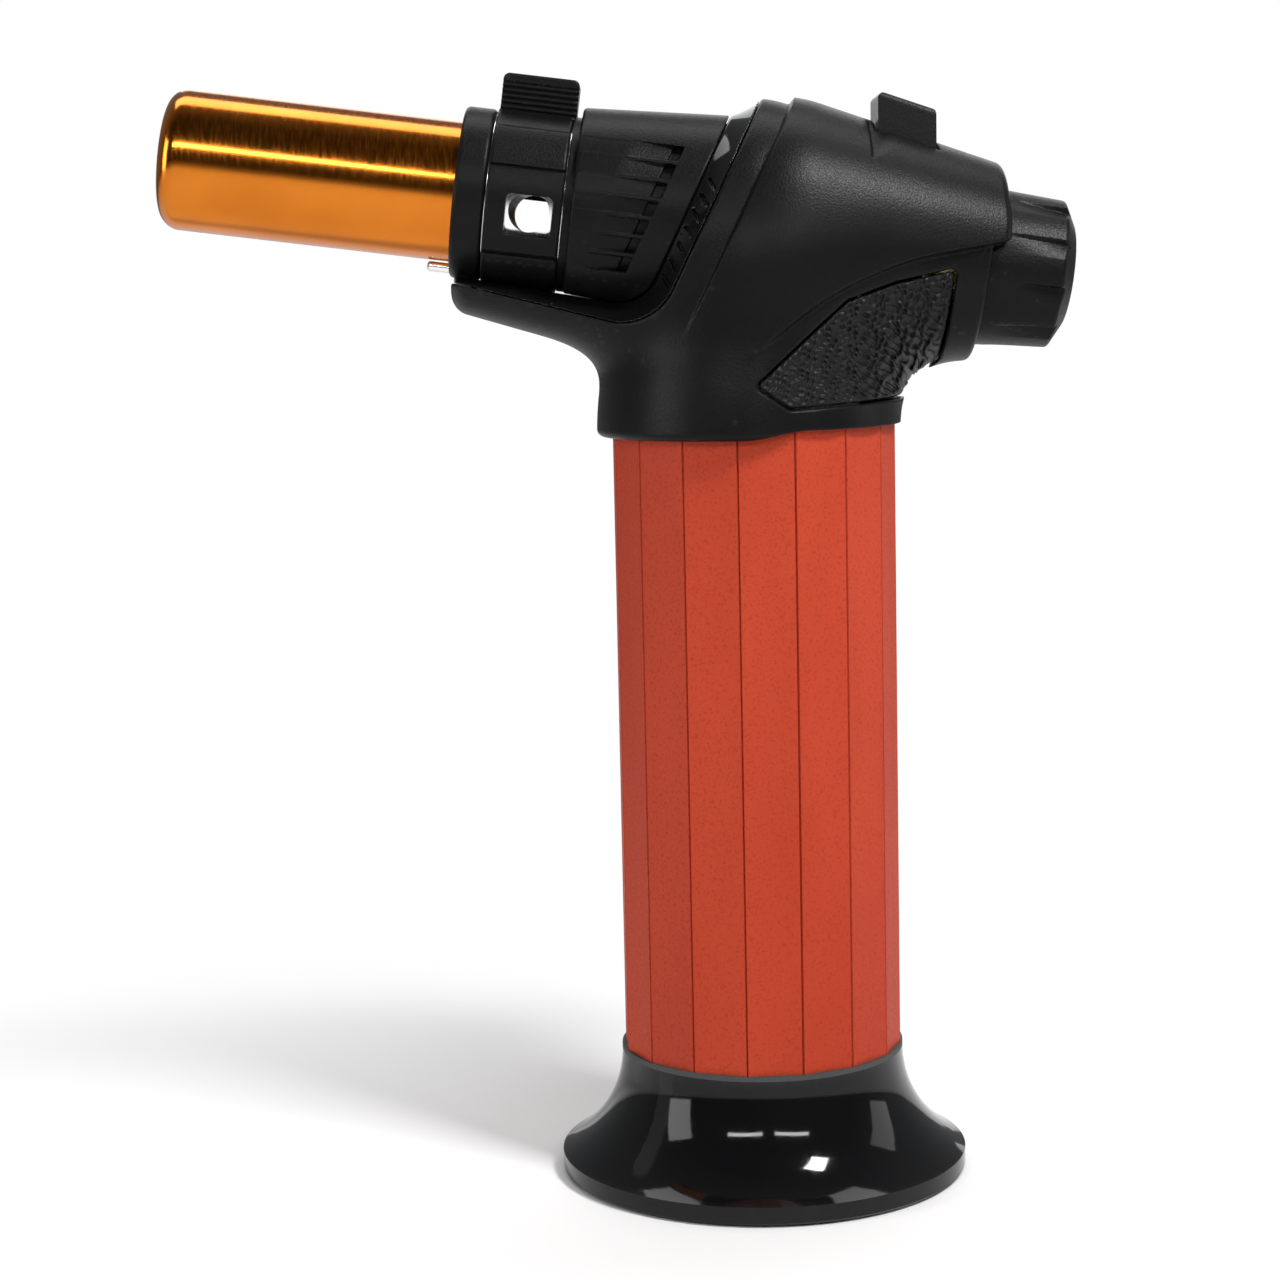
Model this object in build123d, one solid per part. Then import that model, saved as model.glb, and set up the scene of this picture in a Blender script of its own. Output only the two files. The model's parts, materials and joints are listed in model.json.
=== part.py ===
from build123d import *
import os
from math import copysign, cos, pi, radians, sin

# Hand-held butane torch: a flared stand, a fluted handle with the fuel tank inside, and a
# head that carries the nozzle, the flame control knob and the ignition button.
# Millimetres. +Z up, origin at the centre of the stand's resting face, on the handle's axis.
# The nozzle points to -X and rises; the two head shells meet on the plane Y = 0.

# Stand
STAND_RADIUS = 29.25
STAND_NECK_RADIUS = 20.3
STAND_HEIGHT = 17.6
STAND_FLARE_RADIUS = 16.85
STAND_WALL = 2.2
STAND_WEB_BOTTOM = 9.5
STAND_WEB_TOP = 12.0
STAND_PORT_RADIUS = 9.0

# Handle
GASKET_TOP = 18.3
SLEEVE_TOP = 108.0
SLEEVE_RADIUS = 20.0
SLEEVE_BORE_RADIUS = 18.45
PANEL_COUNT = 16
PANEL_DIP = 0.4
GROOVE_DEPTH = 0.35
GROOVE_HALF_ANGLE = 0.5
FIRST_GROOVE_ANGLE = -98.5

# Fuel tank
TANK_RADIUS = 18.4
TANK_WALL = 1.4
TANK_FLOOR_TOP = 14.5
TANK_TOP = 104.0
CAP_SPIGOT_BOTTOM = 98.0
CAP_PLATE_TOP = 108.4
CAP_NECK_RADIUS = 15.0
CAP_FLANGE_RADIUS = 17.5
CAP_FLANGE_BOTTOM = 111.6
CAP_TOP = 113.0
OUTLET_RADIUS = 3.5
OUTLET_PORT_HEIGHT = 116.0
WICK_RADIUS = 2.4
WICK_BOTTOM = 24.0

# Refill valve
FILL_MOUTH_BOTTOM = 8.5
FILL_MOUTH_RADIUS = 2.25
FILL_MOUTH_DEPTH = 2.0
FILL_BODY_RADIUS = 3.5
FILL_BODY_TOP = 23.0
FILL_SEAT = 13.0
FILL_CHAMBER_RADIUS = 2.4
FILL_STEM_RADIUS = 1.4
FILL_SPRING_TOP = 22.0
RUNNING_GAP = 0.05

# Nozzle axis: through the handle's axis at NOZZLE_HEIGHT, rising towards -X
NOZZLE_TILT = 7.8
NOZZLE_HEIGHT = 135.0
FLAME_TUBE_RADIUS = 9.75
FLAME_TUBE_WALL = 0.5
FLAME_TUBE_START = 34.5
FLAME_TUBE_MOUTH = 82.0
MOUTH_ROUNDING = 2.8
COLLAR_RADIUS = 11.9
COLLAR_FRONT = 41.0
AIR_RING_RADIUS = 12.5
AIR_RING_START = 26.0
AIR_RING_END = 36.5
AIR_SLEEVE_RADIUS = 11.4
AIR_SLEEVE_BORE = 10.7
AIR_SLEEVE_START = 14.0
AIR_HOLE_STATION = 30.5
AIR_HOLE_DROP = 1.8
AIR_HOLE_RADIUS = 2.8
AIR_WINDOW_LENGTH = 6.5
AIR_WINDOW_HEIGHT = 5.4
LEVER_TOP = 16.9
LEVER_WIDTH = 7.0
LEVER_START = 25.4
LEVER_END = 36.0
LEVER_RIB_COUNT = 7
LEVER_RIB_PITCH = 0.7
SHROUD_FRONT = 24.8
SHROUD_FRONT_RADIUS = 13.5
SHROUD_SPIGOT_RADIUS = 12.1
SHROUD_TAPER = 3.6
LOUVRE_COUNT = 7
LOUVRE_PITCH = 2.6
LOUVRE_TOP = 8.6
LOUVRE_TOP_START = 10.5
LOUVRE_STEP = 1.1
LOUVRE_END = 21.5
BARREL_REAR = 4.0

# Burner inside the nozzle, by distance along the nozzle axis
MOUNT_START = 8.0
MOUNT_SPIGOT_RADIUS = 8.2
SADDLE_REACH = 21.0
JET_START = 18.0
JET_TIP = 26.5
JET_RADIUS = 3.0
MIXER_START = 35.0
MIXER_RADIUS = 3.6
MIXER_BORE = 3.0
BURNER_START = 51.0
BURNER_HOLE_COUNT = 12
ELECTRODE_RISE = 6.5
ELECTRODE_RADIUS = 0.5
INSULATOR_RADIUS = 1.4
PIN_DROP = 10.65
PIN_RADIUS = 0.7

# Flame control, on an axis parallel to the nozzle's
KNOB_AXIS_DROP = 1.75
KNOB_START = 32.4
KNOB_END = 45.1
KNOB_RADIUS = 11.0
KNOB_END_RADIUS = 10.3
KNOB_NOSE_LENGTH = 1.9
KNOB_NOSE_RADIUS = 6.7
KNOB_RECESS_GAP = 0.3
NOTCH_COUNT = 10
NOTCH_START = 34.5
NOTCH_DEPTH = 1.0
NOTCH_WIDTH = 3.4
FIRST_NOTCH_ANGLE = 66.0
VALVE_START = 25.5
VALVE_END = 30.5
VALVE_RADIUS = 6.0
VALVE_INLET = 27.2
FEED_TUBE_RADIUS = 1.15
GAS_LINE_RADIUS = 1.4
GAS_LINE_SIDE = 4.4
GLAND_RADIUS = 4.6
GLAND_END = 36.0
SPINDLE_RADIUS = 1.6
SPINDLE_START = 27.0
SPINDLE_END = 42.0
SEAL_CHAMBER_RADIUS = 2.6
KNOB_SCREW_RADIUS = 0.9
KNOB_SCREW_HEAD_RADIUS = 2.2

# Head
HEAD_WALL = 2.0
SKIRT_BOTTOM = 106.1
SKIRT_RADIUS = 22.0
SKIRT_ROUNDING = 1.2
SKIRT_SHOULDER = 112.0
NECK_TOP = 130.0
NECK_TOP_RADIUS = 17.2
HOOD_POWER = 2.3
HOOD_POINTS = 24
# Hood stations along X: (x, top, bottom, half width)
HOOD_STATIONS = (
    (-16.0, 150.6, 118.0, 13.2),
    (-6.0, 151.2, 112.0, 16.4),
    (4.0, 152.5, 109.5, 18.4),
    (10.0, 151.7, 109.5, 18.6),
    (24.0, 146.7, 112.5, 16.8),
    (37.0, 142.1, 117.5, 12.6),
)
REAR_TOP = (35.2, 142.7)
REAR_BOTTOM = (30.0, 117.1)
CHIN_FRONT = 41.2
CHIN_FRONT_RADIUS = 16.0
CHIN_REAR = 4.0
CHIN_REAR_RADIUS = 22.6
RING_CLEARANCE_RADIUS = 13.0
# Side view (x, z) of the two edges of the bezel that frames the shroud
BEZEL_OUTER = ((9.1, 167.0), (-14.0, 120.75), (-46.0, 128.4))
BEZEL_INNER = ((5.5, 166.7), (-15.2, 124.1), (-46.0, 129.0))
BEZEL_OUTER_BEND = 6.0
BEZEL_INNER_BEND = 4.0
BEZEL_RECESS = 0.5

# Grip inserts, side view
GRIP_OUTLINE = (
    (26.6, 127.6),
    (19.3, 126.2),
    (12.6, 123.9),
    (0.6, 113.4),
    (4.4, 110.8),
    (20.8, 111.6),
    (25.2, 116.5),
)
GRIP_RECESS = 0.4
GRIP_THICKNESS = 1.0
GRIP_GAP = 0.15

# Ignition, vertical travel
BUTTON_FRONT = 17.6
BUTTON_REAR = 25.6
BUTTON_WIDTH = 12.0
BUTTON_FRONT_TOP = 153.0
BUTTON_REAR_TOP = 150.2
BUTTON_BOTTOM = 140.6
BUTTON_FLANGE = 1.1
BUTTON_FLANGE_FRONT_TOP = 144.8
BUTTON_FLANGE_REAR_TOP = 142.3
BUTTON_GAP = 0.3
PIEZO_X = 19.5
PIEZO_LENGTH = 8.6
PIEZO_WIDTH = 6.4
PIEZO_BOTTOM = 121.0
PIEZO_TOP = 137.4
PIEZO_FLOOR = 123.0
PLUNGER_LENGTH = 6.0
PLUNGER_WIDTH = 4.0
PLUNGER_BOTTOM = 130.0

# Fasteners that hold the shells together: (x, z) of each, driven along Y
SCREW_PLACES = ((-11.5, 117.5), (8.5, 145.5), (6.0, 126.0))
SCREW_BOSS_RADIUS = 3.4
SCREW_HEAD_RADIUS = 2.6
SCREW_HEAD_HEIGHT = 1.8
SCREW_SHANK_RADIUS = 1.2
SCREW_SEAT = 5.0
SCREW_TIP = -6.5

FAR = 60.0
TILT_COS = cos(radians(NOZZLE_TILT))
TILT_SIN = sin(radians(NOZZLE_TILT))
NOZZLE = Plane(
    origin=(0, 0, NOZZLE_HEIGHT),
    x_dir=(TILT_SIN, 0, TILT_COS),
    z_dir=(-TILT_COS, 0, TILT_SIN),
)
KNOB = Plane(
    origin=(-KNOB_AXIS_DROP * TILT_SIN, 0, NOZZLE_HEIGHT - KNOB_AXIS_DROP * TILT_COS),
    x_dir=(TILT_SIN, 0, TILT_COS),
    z_dir=(TILT_COS, 0, -TILT_SIN),
)


def rod(radius, start, end):
    """A cylinder on the local Z axis from start to end."""
    return Pos(0, 0, start) * Cylinder(radius, end - start, align=(Align.CENTER, Align.CENTER, Align.MIN))


def pipe(radius, bore, start, end):
    """A plain tube on the local Z axis."""
    return rod(radius, start, end) - rod(bore, start, end)


def turned(*profile):
    """A solid of revolution about Z from straight-sided (radius, height) points."""
    return revolve(make_face(Plane.XZ * Polyline(*profile, close=True)), Axis.Z)


def block(x_range, y_range, z_range):
    """An upright box from its three ranges."""
    size = [high - low for low, high in (x_range, y_range, z_range)]
    middle = [(high + low) / 2 for low, high in (x_range, y_range, z_range)]
    return Pos(*middle) * Box(*size)


def across(x, z, radius, start, end):
    """A cylinder along Y at a side-view place, from y = start to y = end."""
    axis = Plane(origin=(x, start, z), x_dir=(1, 0, 0), z_dir=(0, 1, 0))
    return axis * rod(radius, 0, end - start)


def side_prism(outline):
    """A side-view outline carried right through the torch along Y."""
    return extrude(make_face(Plane.XZ * outline), amount=FAR, both=True)


def bent_rod(radius, start_way, end_way, *points):
    """A round rod along a smooth path that leaves and arrives in the ways given."""
    path = Spline(*points, tangents=(start_way, end_way))
    section = Plane(origin=path @ 0, z_dir=path % 0) * Circle(radius)
    return sweep(section, path)


def helix_spring(mean_radius, wire_radius, bottom, top, turns):
    """An open coil spring on the local Z axis, inside the given heights."""
    height = top - bottom - 2 * wire_radius
    path = Pos(0, 0, bottom + wire_radius) * Helix(height / turns, height, mean_radius)
    section = Plane(origin=path @ 0, z_dir=path % 0) * Circle(wire_radius)
    return sweep(section, path, is_frenet=True)


# Stand and handle

def base_foot():
    flare_centre = STAND_NECK_RADIUS + STAND_FLARE_RADIUS
    rim_top = STAND_HEIGHT - (STAND_FLARE_RADIUS**2 - (flare_centre - STAND_RADIUS) ** 2) ** 0.5
    foot_in = 0.4
    outline = [
        Line((SLEEVE_BORE_RADIUS, STAND_WEB_TOP), (SLEEVE_BORE_RADIUS, STAND_HEIGHT)),
        Line((SLEEVE_BORE_RADIUS, STAND_HEIGHT), (STAND_NECK_RADIUS, STAND_HEIGHT)),
        RadiusArc((STAND_NECK_RADIUS, STAND_HEIGHT), (STAND_RADIUS, rim_top), -STAND_FLARE_RADIUS),
        Line((STAND_RADIUS, rim_top), (STAND_RADIUS, foot_in)),
        Line((STAND_RADIUS, foot_in), (STAND_RADIUS - foot_in, 0)),
        Line((STAND_RADIUS - foot_in, 0), (STAND_RADIUS - STAND_WALL, 0)),
        Line((STAND_RADIUS - STAND_WALL, 0), (STAND_RADIUS - STAND_WALL, rim_top - 1)),
        Line((STAND_RADIUS - STAND_WALL, rim_top - 1), (STAND_NECK_RADIUS, STAND_WEB_BOTTOM - 1)),
        Line((STAND_NECK_RADIUS, STAND_WEB_BOTTOM - 1), (STAND_NECK_RADIUS - 2, STAND_WEB_BOTTOM)),
        Line((STAND_NECK_RADIUS - 2, STAND_WEB_BOTTOM), (STAND_PORT_RADIUS, STAND_WEB_BOTTOM)),
        Line((STAND_PORT_RADIUS, STAND_WEB_BOTTOM), (STAND_PORT_RADIUS, STAND_WEB_TOP)),
        Line((STAND_PORT_RADIUS, STAND_WEB_TOP), (SLEEVE_BORE_RADIUS, STAND_WEB_TOP)),
    ]
    return revolve(make_face(Plane.XZ * Curve(outline)), Axis.Z)


def base_gasket():
    return pipe(STAND_NECK_RADIUS, SLEEVE_BORE_RADIUS, STAND_HEIGHT, GASKET_TOP)


def handle_sleeve():
    """Sixteen shallow concave panels with a fine groove on each ridge between them."""
    outline = []
    for panel in range(PANEL_COUNT):
        ridge = FIRST_GROOVE_ANGLE + panel * 360 / PANEL_COUNT
        for radius, angle in (
            (SLEEVE_RADIUS, ridge - GROOVE_HALF_ANGLE),
            (SLEEVE_RADIUS - GROOVE_DEPTH, ridge),
            (SLEEVE_RADIUS, ridge + GROOVE_HALF_ANGLE),
            (SLEEVE_RADIUS - PANEL_DIP, ridge + 180 / PANEL_COUNT),
        ):
            outline.append((radius * cos(radians(angle)), radius * sin(radians(angle))))
    body = extrude(make_face(Polyline(*outline, close=True)), SLEEVE_TOP - GASKET_TOP)
    return Pos(0, 0, GASKET_TOP) * body - rod(SLEEVE_BORE_RADIUS, GASKET_TOP, SLEEVE_TOP)


def fuel_tank():
    shell = rod(TANK_RADIUS, STAND_WEB_TOP, TANK_TOP) - rod(TANK_RADIUS - TANK_WALL, TANK_FLOOR_TOP, TANK_TOP)
    boss = rod(FILL_BODY_RADIUS + 2, TANK_FLOOR_TOP, TANK_FLOOR_TOP + 5)
    return shell + boss - rod(FILL_BODY_RADIUS, STAND_WEB_TOP, TANK_FLOOR_TOP + 5)


def tank_cap():
    spigot_radius = TANK_RADIUS - TANK_WALL - RUNNING_GAP
    seal_groove = spigot_radius - 1.3
    body = turned(
        (OUTLET_RADIUS, CAP_SPIGOT_BOTTOM),
        (spigot_radius, CAP_SPIGOT_BOTTOM),
        (spigot_radius, 100.0),
        (seal_groove, 100.0),
        (seal_groove, 101.8),
        (spigot_radius, 101.8),
        (spigot_radius, TANK_TOP),
        (TANK_RADIUS, TANK_TOP),
        (TANK_RADIUS, CAP_PLATE_TOP),
        (CAP_NECK_RADIUS, CAP_PLATE_TOP),
        (CAP_NECK_RADIUS, CAP_FLANGE_BOTTOM),
        (CAP_FLANGE_RADIUS, CAP_FLANGE_BOTTOM),
        (CAP_FLANGE_RADIUS, CAP_TOP),
        (OUTLET_RADIUS, CAP_TOP),
    )
    return body


def tank_seal():
    section_radius = 0.64
    centre_radius = TANK_RADIUS - TANK_WALL - section_radius - 0.01
    return Pos(0, 0, 100.9) * Torus(centre_radius, section_radius)


def fuel_wick():
    return rod(WICK_RADIUS, WICK_BOTTOM, CAP_SPIGOT_BOTTOM + 4)


def outlet_fitting():
    """Screwed into the cap: holds the wick below and feeds the side tube above."""
    body = rod(OUTLET_RADIUS, CAP_SPIGOT_BOTTOM, CAP_TOP) + rod(OUTLET_RADIUS + 1, CAP_TOP, 118.5)
    wick_socket = rod(WICK_RADIUS, CAP_SPIGOT_BOTTOM, CAP_SPIGOT_BOTTOM + 4)
    passage = rod(0.8, CAP_SPIGOT_BOTTOM + 4, OUTLET_PORT_HEIGHT)
    side_port = Pos(0, 0, OUTLET_PORT_HEIGHT) * Rotation(0, 90, 0) * rod(0.8, 0, OUTLET_RADIUS + 1)
    return body - wick_socket - passage - side_port


# Refill valve

def fill_valve_body():
    mouth_top = FILL_MOUTH_BOTTOM + FILL_MOUTH_DEPTH
    body = rod(FILL_BODY_RADIUS + 2, FILL_MOUTH_BOTTOM, STAND_WEB_TOP)
    body += rod(FILL_BODY_RADIUS, STAND_WEB_TOP, FILL_BODY_TOP)
    body -= rod(FILL_MOUTH_RADIUS, FILL_MOUTH_BOTTOM, mouth_top)
    body -= rod(FILL_STEM_RADIUS + RUNNING_GAP, mouth_top, FILL_SEAT)
    body -= rod(FILL_CHAMBER_RADIUS, FILL_SEAT, FILL_SPRING_TOP)
    return body - rod(1.0, FILL_SPRING_TOP, FILL_BODY_TOP)


def fill_valve_stem():
    tip = FILL_MOUTH_BOTTOM + FILL_MOUTH_DEPTH + 0.1
    flange_bottom = FILL_SEAT + 0.3
    stem = rod(FILL_STEM_RADIUS, tip, flange_bottom)
    stem += rod(FILL_CHAMBER_RADIUS - 0.1, flange_bottom, flange_bottom + 1)
    return stem + rod(0.7, flange_bottom + 1, flange_bottom + 3.5)


def fill_valve_seal():
    return pipe(FILL_CHAMBER_RADIUS - 0.02, FILL_STEM_RADIUS + RUNNING_GAP, FILL_SEAT, FILL_SEAT + 0.29)


def fill_valve_spring():
    return helix_spring(1.6, 0.3, FILL_SEAT + 1.32, FILL_SPRING_TOP, 6)


# Gas path and flame control

def feed_tube():
    inlet = KNOB.from_local_coords(Vector(-VALVE_RADIUS, 0, VALVE_INLET))
    return bent_rod(
        FEED_TUBE_RADIUS,
        (1, 0, 0),
        KNOB.x_dir,
        (OUTLET_RADIUS + 1, 0, OUTLET_PORT_HEIGHT),
        (12.0, 0, OUTLET_PORT_HEIGHT),
        (inlet.X - 4, 0, OUTLET_PORT_HEIGHT + 1.6),
        (inlet.X, 0, inlet.Z),
    )


def valve_block():
    body = rod(VALVE_RADIUS, VALVE_START, VALVE_END)
    return KNOB * (body - rod(SPINDLE_RADIUS + RUNNING_GAP, SPINDLE_START - 0.5, VALVE_END))


def gland_nut():
    body = rod(GLAND_RADIUS, VALVE_END, GLAND_END) - rod(SPINDLE_RADIUS + RUNNING_GAP, VALVE_END, GLAND_END)
    return KNOB * (body - rod(SEAL_CHAMBER_RADIUS, VALVE_END + 0.6, VALVE_END + 2.0))


def spindle_seal():
    section_radius = 0.44
    return KNOB * Pos(0, 0, VALVE_END + 1.3) * Torus(SEAL_CHAMBER_RADIUS - section_radius - 0.02, section_radius)


def valve_spindle():
    body = rod(SPINDLE_RADIUS, SPINDLE_START, SPINDLE_END)
    flat = block((SPINDLE_RADIUS - 0.5, SPINDLE_RADIUS), (-2, 2), (SPINDLE_END - 3, SPINDLE_END))
    return KNOB * (body - flat - rod(KNOB_SCREW_RADIUS + RUNNING_GAP, SPINDLE_END - 3, SPINDLE_END))


def knob_notch():
    """A wedge that is narrow and shallow at its start and deepens to the knob's end."""
    floor = KNOB_END_RADIUS - NOTCH_DEPTH
    start_section = Plane.XY.offset(NOTCH_START) * Polyline(
        (KNOB_RADIUS, -0.1), (KNOB_RADIUS + 2, -0.4), (KNOB_RADIUS + 2, 0.4), (KNOB_RADIUS, 0.1), close=True
    )
    end_section = Plane.XY.offset(KNOB_END + 0.1) * Polyline(
        (floor, -0.1),
        (KNOB_RADIUS + 2, -NOTCH_WIDTH),
        (KNOB_RADIUS + 2, NOTCH_WIDTH / 4),
        (floor, 0.1),
        close=True,
    )
    return Solid.make_loft([Wire(start_section.edges()), Wire(end_section.edges())], ruled=True)


def control_knob():
    """A cup with a central boss and a blunt nose, slightly tapered, with notches for the fingers."""
    cup_depth = 6.0
    profile = (
        (KNOB_RADIUS - 3, KNOB_START),
        (KNOB_RADIUS, KNOB_START),
        (KNOB_END_RADIUS, KNOB_END - KNOB_NOSE_LENGTH),
        (KNOB_NOSE_RADIUS, KNOB_END),
        (KNOB_SCREW_HEAD_RADIUS + 0.2, KNOB_END),
        (KNOB_SCREW_HEAD_RADIUS + 0.2, KNOB_END - 2),
        (KNOB_SCREW_RADIUS + RUNNING_GAP, KNOB_END - 2),
        (KNOB_SCREW_RADIUS + RUNNING_GAP, SPINDLE_END),
        (SPINDLE_RADIUS, SPINDLE_END),
        (SPINDLE_RADIUS, GLAND_END + 1),
        (SPINDLE_RADIUS + 2, GLAND_END + 1),
        (SPINDLE_RADIUS + 2, KNOB_START + cup_depth),
        (KNOB_RADIUS - 3, KNOB_START + cup_depth),
    )
    body = turned(*profile)
    notch = knob_notch()
    for number in range(NOTCH_COUNT):
        body -= Rotation(0, 0, FIRST_NOTCH_ANGLE + number * 360 / NOTCH_COUNT) * notch
    return KNOB * body


def knob_screw():
    body = rod(KNOB_SCREW_HEAD_RADIUS, KNOB_END - 2, KNOB_END - 0.7)
    body += rod(KNOB_SCREW_RADIUS, SPINDLE_END - 2.5, KNOB_END - 2)
    slot = block((-0.3, 0.3), (-3, 3), (KNOB_END - 1.3, KNOB_END))
    return KNOB * (body - slot)


def gas_line():
    """From the valve block, past the side of the piezo unit, to the burner mount."""
    start = KNOB.from_local_coords(Vector(0, GAS_LINE_SIDE, VALVE_START))
    end = NOZZLE.from_local_coords(Vector(0, 0, MOUNT_START))
    return bent_rod(
        GAS_LINE_RADIUS,
        NOZZLE.z_dir,
        NOZZLE.z_dir,
        start,
        (PIEZO_X + 2, -GAS_LINE_SIDE - 1, start.Z + 1.0),
        (PIEZO_X - 6, -GAS_LINE_SIDE - 0.4, start.Z + 2.6),
        end,
    )


# Nozzle

def burner_mount():
    """Carries the jet, and fills the rear of the air sleeve."""
    body = rod(MOUNT_SPIGOT_RADIUS, MOUNT_START, AIR_SLEEVE_START)
    body += rod(AIR_SLEEVE_BORE, AIR_SLEEVE_START, JET_START + 4)
    body -= rod(0.8, MOUNT_START, JET_START)
    body -= rod(JET_RADIUS, JET_START, JET_START + 4)
    body -= Pos(ELECTRODE_RISE, 0, 0) * rod(INSULATOR_RADIUS, MOUNT_START, JET_START + 4)
    return NOZZLE * body


def gas_jet():
    tip_radius = 1.2
    body = turned(
        (0.15, JET_START),
        (JET_RADIUS, JET_START),
        (JET_RADIUS, JET_START + 5),
        (tip_radius, JET_TIP - 1),
        (tip_radius, JET_TIP),
        (0.15, JET_TIP),
    )
    return NOZZLE * body


def air_holes(radius):
    """The cross drilling that lets air in from both sides, a little below the axis."""
    axis = Plane(origin=(-AIR_HOLE_DROP, 0, AIR_HOLE_STATION), x_dir=(1, 0, 0), z_dir=(0, 1, 0))
    return axis * rod(radius, -FAR, FAR)


def air_sleeve():
    body = pipe(AIR_SLEEVE_RADIUS, AIR_SLEEVE_BORE, AIR_SLEEVE_START, AIR_RING_END + 0.1)
    return NOZZLE * (body - air_holes(AIR_HOLE_RADIUS))


def front_collar():
    spigot = pipe(AIR_SLEEVE_BORE - 0.02, FLAME_TUBE_RADIUS, FLAME_TUBE_START, AIR_RING_END + 0.1)
    flange = pipe(COLLAR_RADIUS, FLAME_TUBE_RADIUS, AIR_RING_END + 0.1, COLLAR_FRONT)
    rims = flange.edges().filter_by(GeomType.CIRCLE).group_by(SortBy.RADIUS)[-1]
    flange = fillet(rims, 0.7)
    pin_hole = Pos(-PIN_DROP, 0, 0) * rod(PIN_RADIUS, AIR_RING_END + 0.5, COLLAR_FRONT)
    return NOZZLE * (flange + spigot - pin_hole)


def tube_retaining_pin():
    head = rod(PIN_RADIUS, COLLAR_FRONT, COLLAR_FRONT + 3.2)
    head = chamfer(head.edges().group_by(Axis.Z)[-1], 0.25)
    return NOZZLE * Pos(-PIN_DROP, 0, 0) * (head + rod(PIN_RADIUS, AIR_RING_END + 0.5, COLLAR_FRONT))


def flame_tube():
    """Thin polished tube whose mouth is rolled inwards."""
    bend_start = FLAME_TUBE_MOUTH - MOUTH_ROUNDING
    bore = FLAME_TUBE_RADIUS - FLAME_TUBE_WALL
    inner_rounding = MOUTH_ROUNDING - FLAME_TUBE_WALL
    mouth_radius = FLAME_TUBE_RADIUS - MOUTH_ROUNDING
    outline = [
        Line((bore, FLAME_TUBE_START), (FLAME_TUBE_RADIUS, FLAME_TUBE_START)),
        Line((FLAME_TUBE_RADIUS, FLAME_TUBE_START), (FLAME_TUBE_RADIUS, bend_start)),
        RadiusArc((FLAME_TUBE_RADIUS, bend_start), (mouth_radius, FLAME_TUBE_MOUTH), -MOUTH_ROUNDING),
        Line((mouth_radius, FLAME_TUBE_MOUTH), (mouth_radius, FLAME_TUBE_MOUTH - FLAME_TUBE_WALL)),
        RadiusArc((mouth_radius, FLAME_TUBE_MOUTH - FLAME_TUBE_WALL), (bore, bend_start), inner_rounding),
        Line((bore, bend_start), (bore, FLAME_TUBE_START)),
    ]
    return NOZZLE * revolve(make_face(Plane.XZ * Curve(outline)), Axis.Z)


def mixing_tube():
    bore = FLAME_TUBE_RADIUS - FLAME_TUBE_WALL - 0.05
    body = pipe(MIXER_RADIUS, MIXER_BORE, MIXER_START, BURNER_START + 2)
    body += pipe(bore, MIXER_BORE, MIXER_START + 1, MIXER_START + 2.5)
    body -= Pos(ELECTRODE_RISE, 0, 0) * rod(INSULATOR_RADIUS, MIXER_START, MIXER_START + 3)
    return NOZZLE * body


def burner_head():
    """Perforated disc that holds the flame."""
    bore = FLAME_TUBE_RADIUS - FLAME_TUBE_WALL - 0.05
    body = rod(bore, BURNER_START, BURNER_START + 3) - rod(MIXER_RADIUS, BURNER_START, BURNER_START + 2)
    for hole in range(6):
        turn = Rotation(0, 0, hole * 60)
        body -= turn * Pos(2.2, 0, 0) * rod(0.6, BURNER_START, BURNER_START + 3)
    body -= rod(0.7, BURNER_START, BURNER_START + 3)
    for hole in range(BURNER_HOLE_COUNT):
        turn = Rotation(0, 0, (hole + 0.5) * 360 / BURNER_HOLE_COUNT)
        body -= turn * Pos(ELECTRODE_RISE, 0, 0) * rod(0.8, BURNER_START, BURNER_START + 3)
    body -= Pos(ELECTRODE_RISE, 0, 0) * rod(ELECTRODE_RADIUS + 0.1, BURNER_START, BURNER_START + 3)
    return NOZZLE * body


def air_ring():
    """Turning collar with an air window each side and a ribbed lever on top."""
    body = rod(AIR_RING_RADIUS, AIR_RING_START, AIR_RING_END)
    rims = body.edges().filter_by(GeomType.CIRCLE)
    body = fillet(rims, 0.6)
    lever = block((AIR_RING_RADIUS - 2, LEVER_TOP), (-LEVER_WIDTH / 2, LEVER_WIDTH / 2), (LEVER_START, LEVER_END))
    lever = fillet(lever.edges().filter_by(Axis.Y).group_by(Axis.X)[-1], 0.8)
    for rib in range(LEVER_RIB_COUNT):
        height = LEVER_TOP - (rib + 0.7) * LEVER_RIB_PITCH
        for side in (-1, 1):
            face = side * (LEVER_WIDTH / 2)
            groove = Pos(height, face, 0) * rod(0.22, LEVER_START, LEVER_END)
            lever -= groove
    body += lever
    half_length = AIR_WINDOW_LENGTH / 2
    half_height = AIR_WINDOW_HEIGHT / 2
    body -= block(
        (-AIR_HOLE_DROP - half_height, -AIR_HOLE_DROP + half_height),
        (-FAR, FAR),
        (AIR_HOLE_STATION - half_length, AIR_HOLE_STATION + half_length),
    )
    body -= rod(SHROUD_SPIGOT_RADIUS + RUNNING_GAP, LEVER_START - 1, AIR_RING_START)
    return NOZZLE * (body - rod(AIR_SLEEVE_RADIUS + RUNNING_GAP, LEVER_START - 1, AIR_RING_END + 1))


# Ignition

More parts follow.
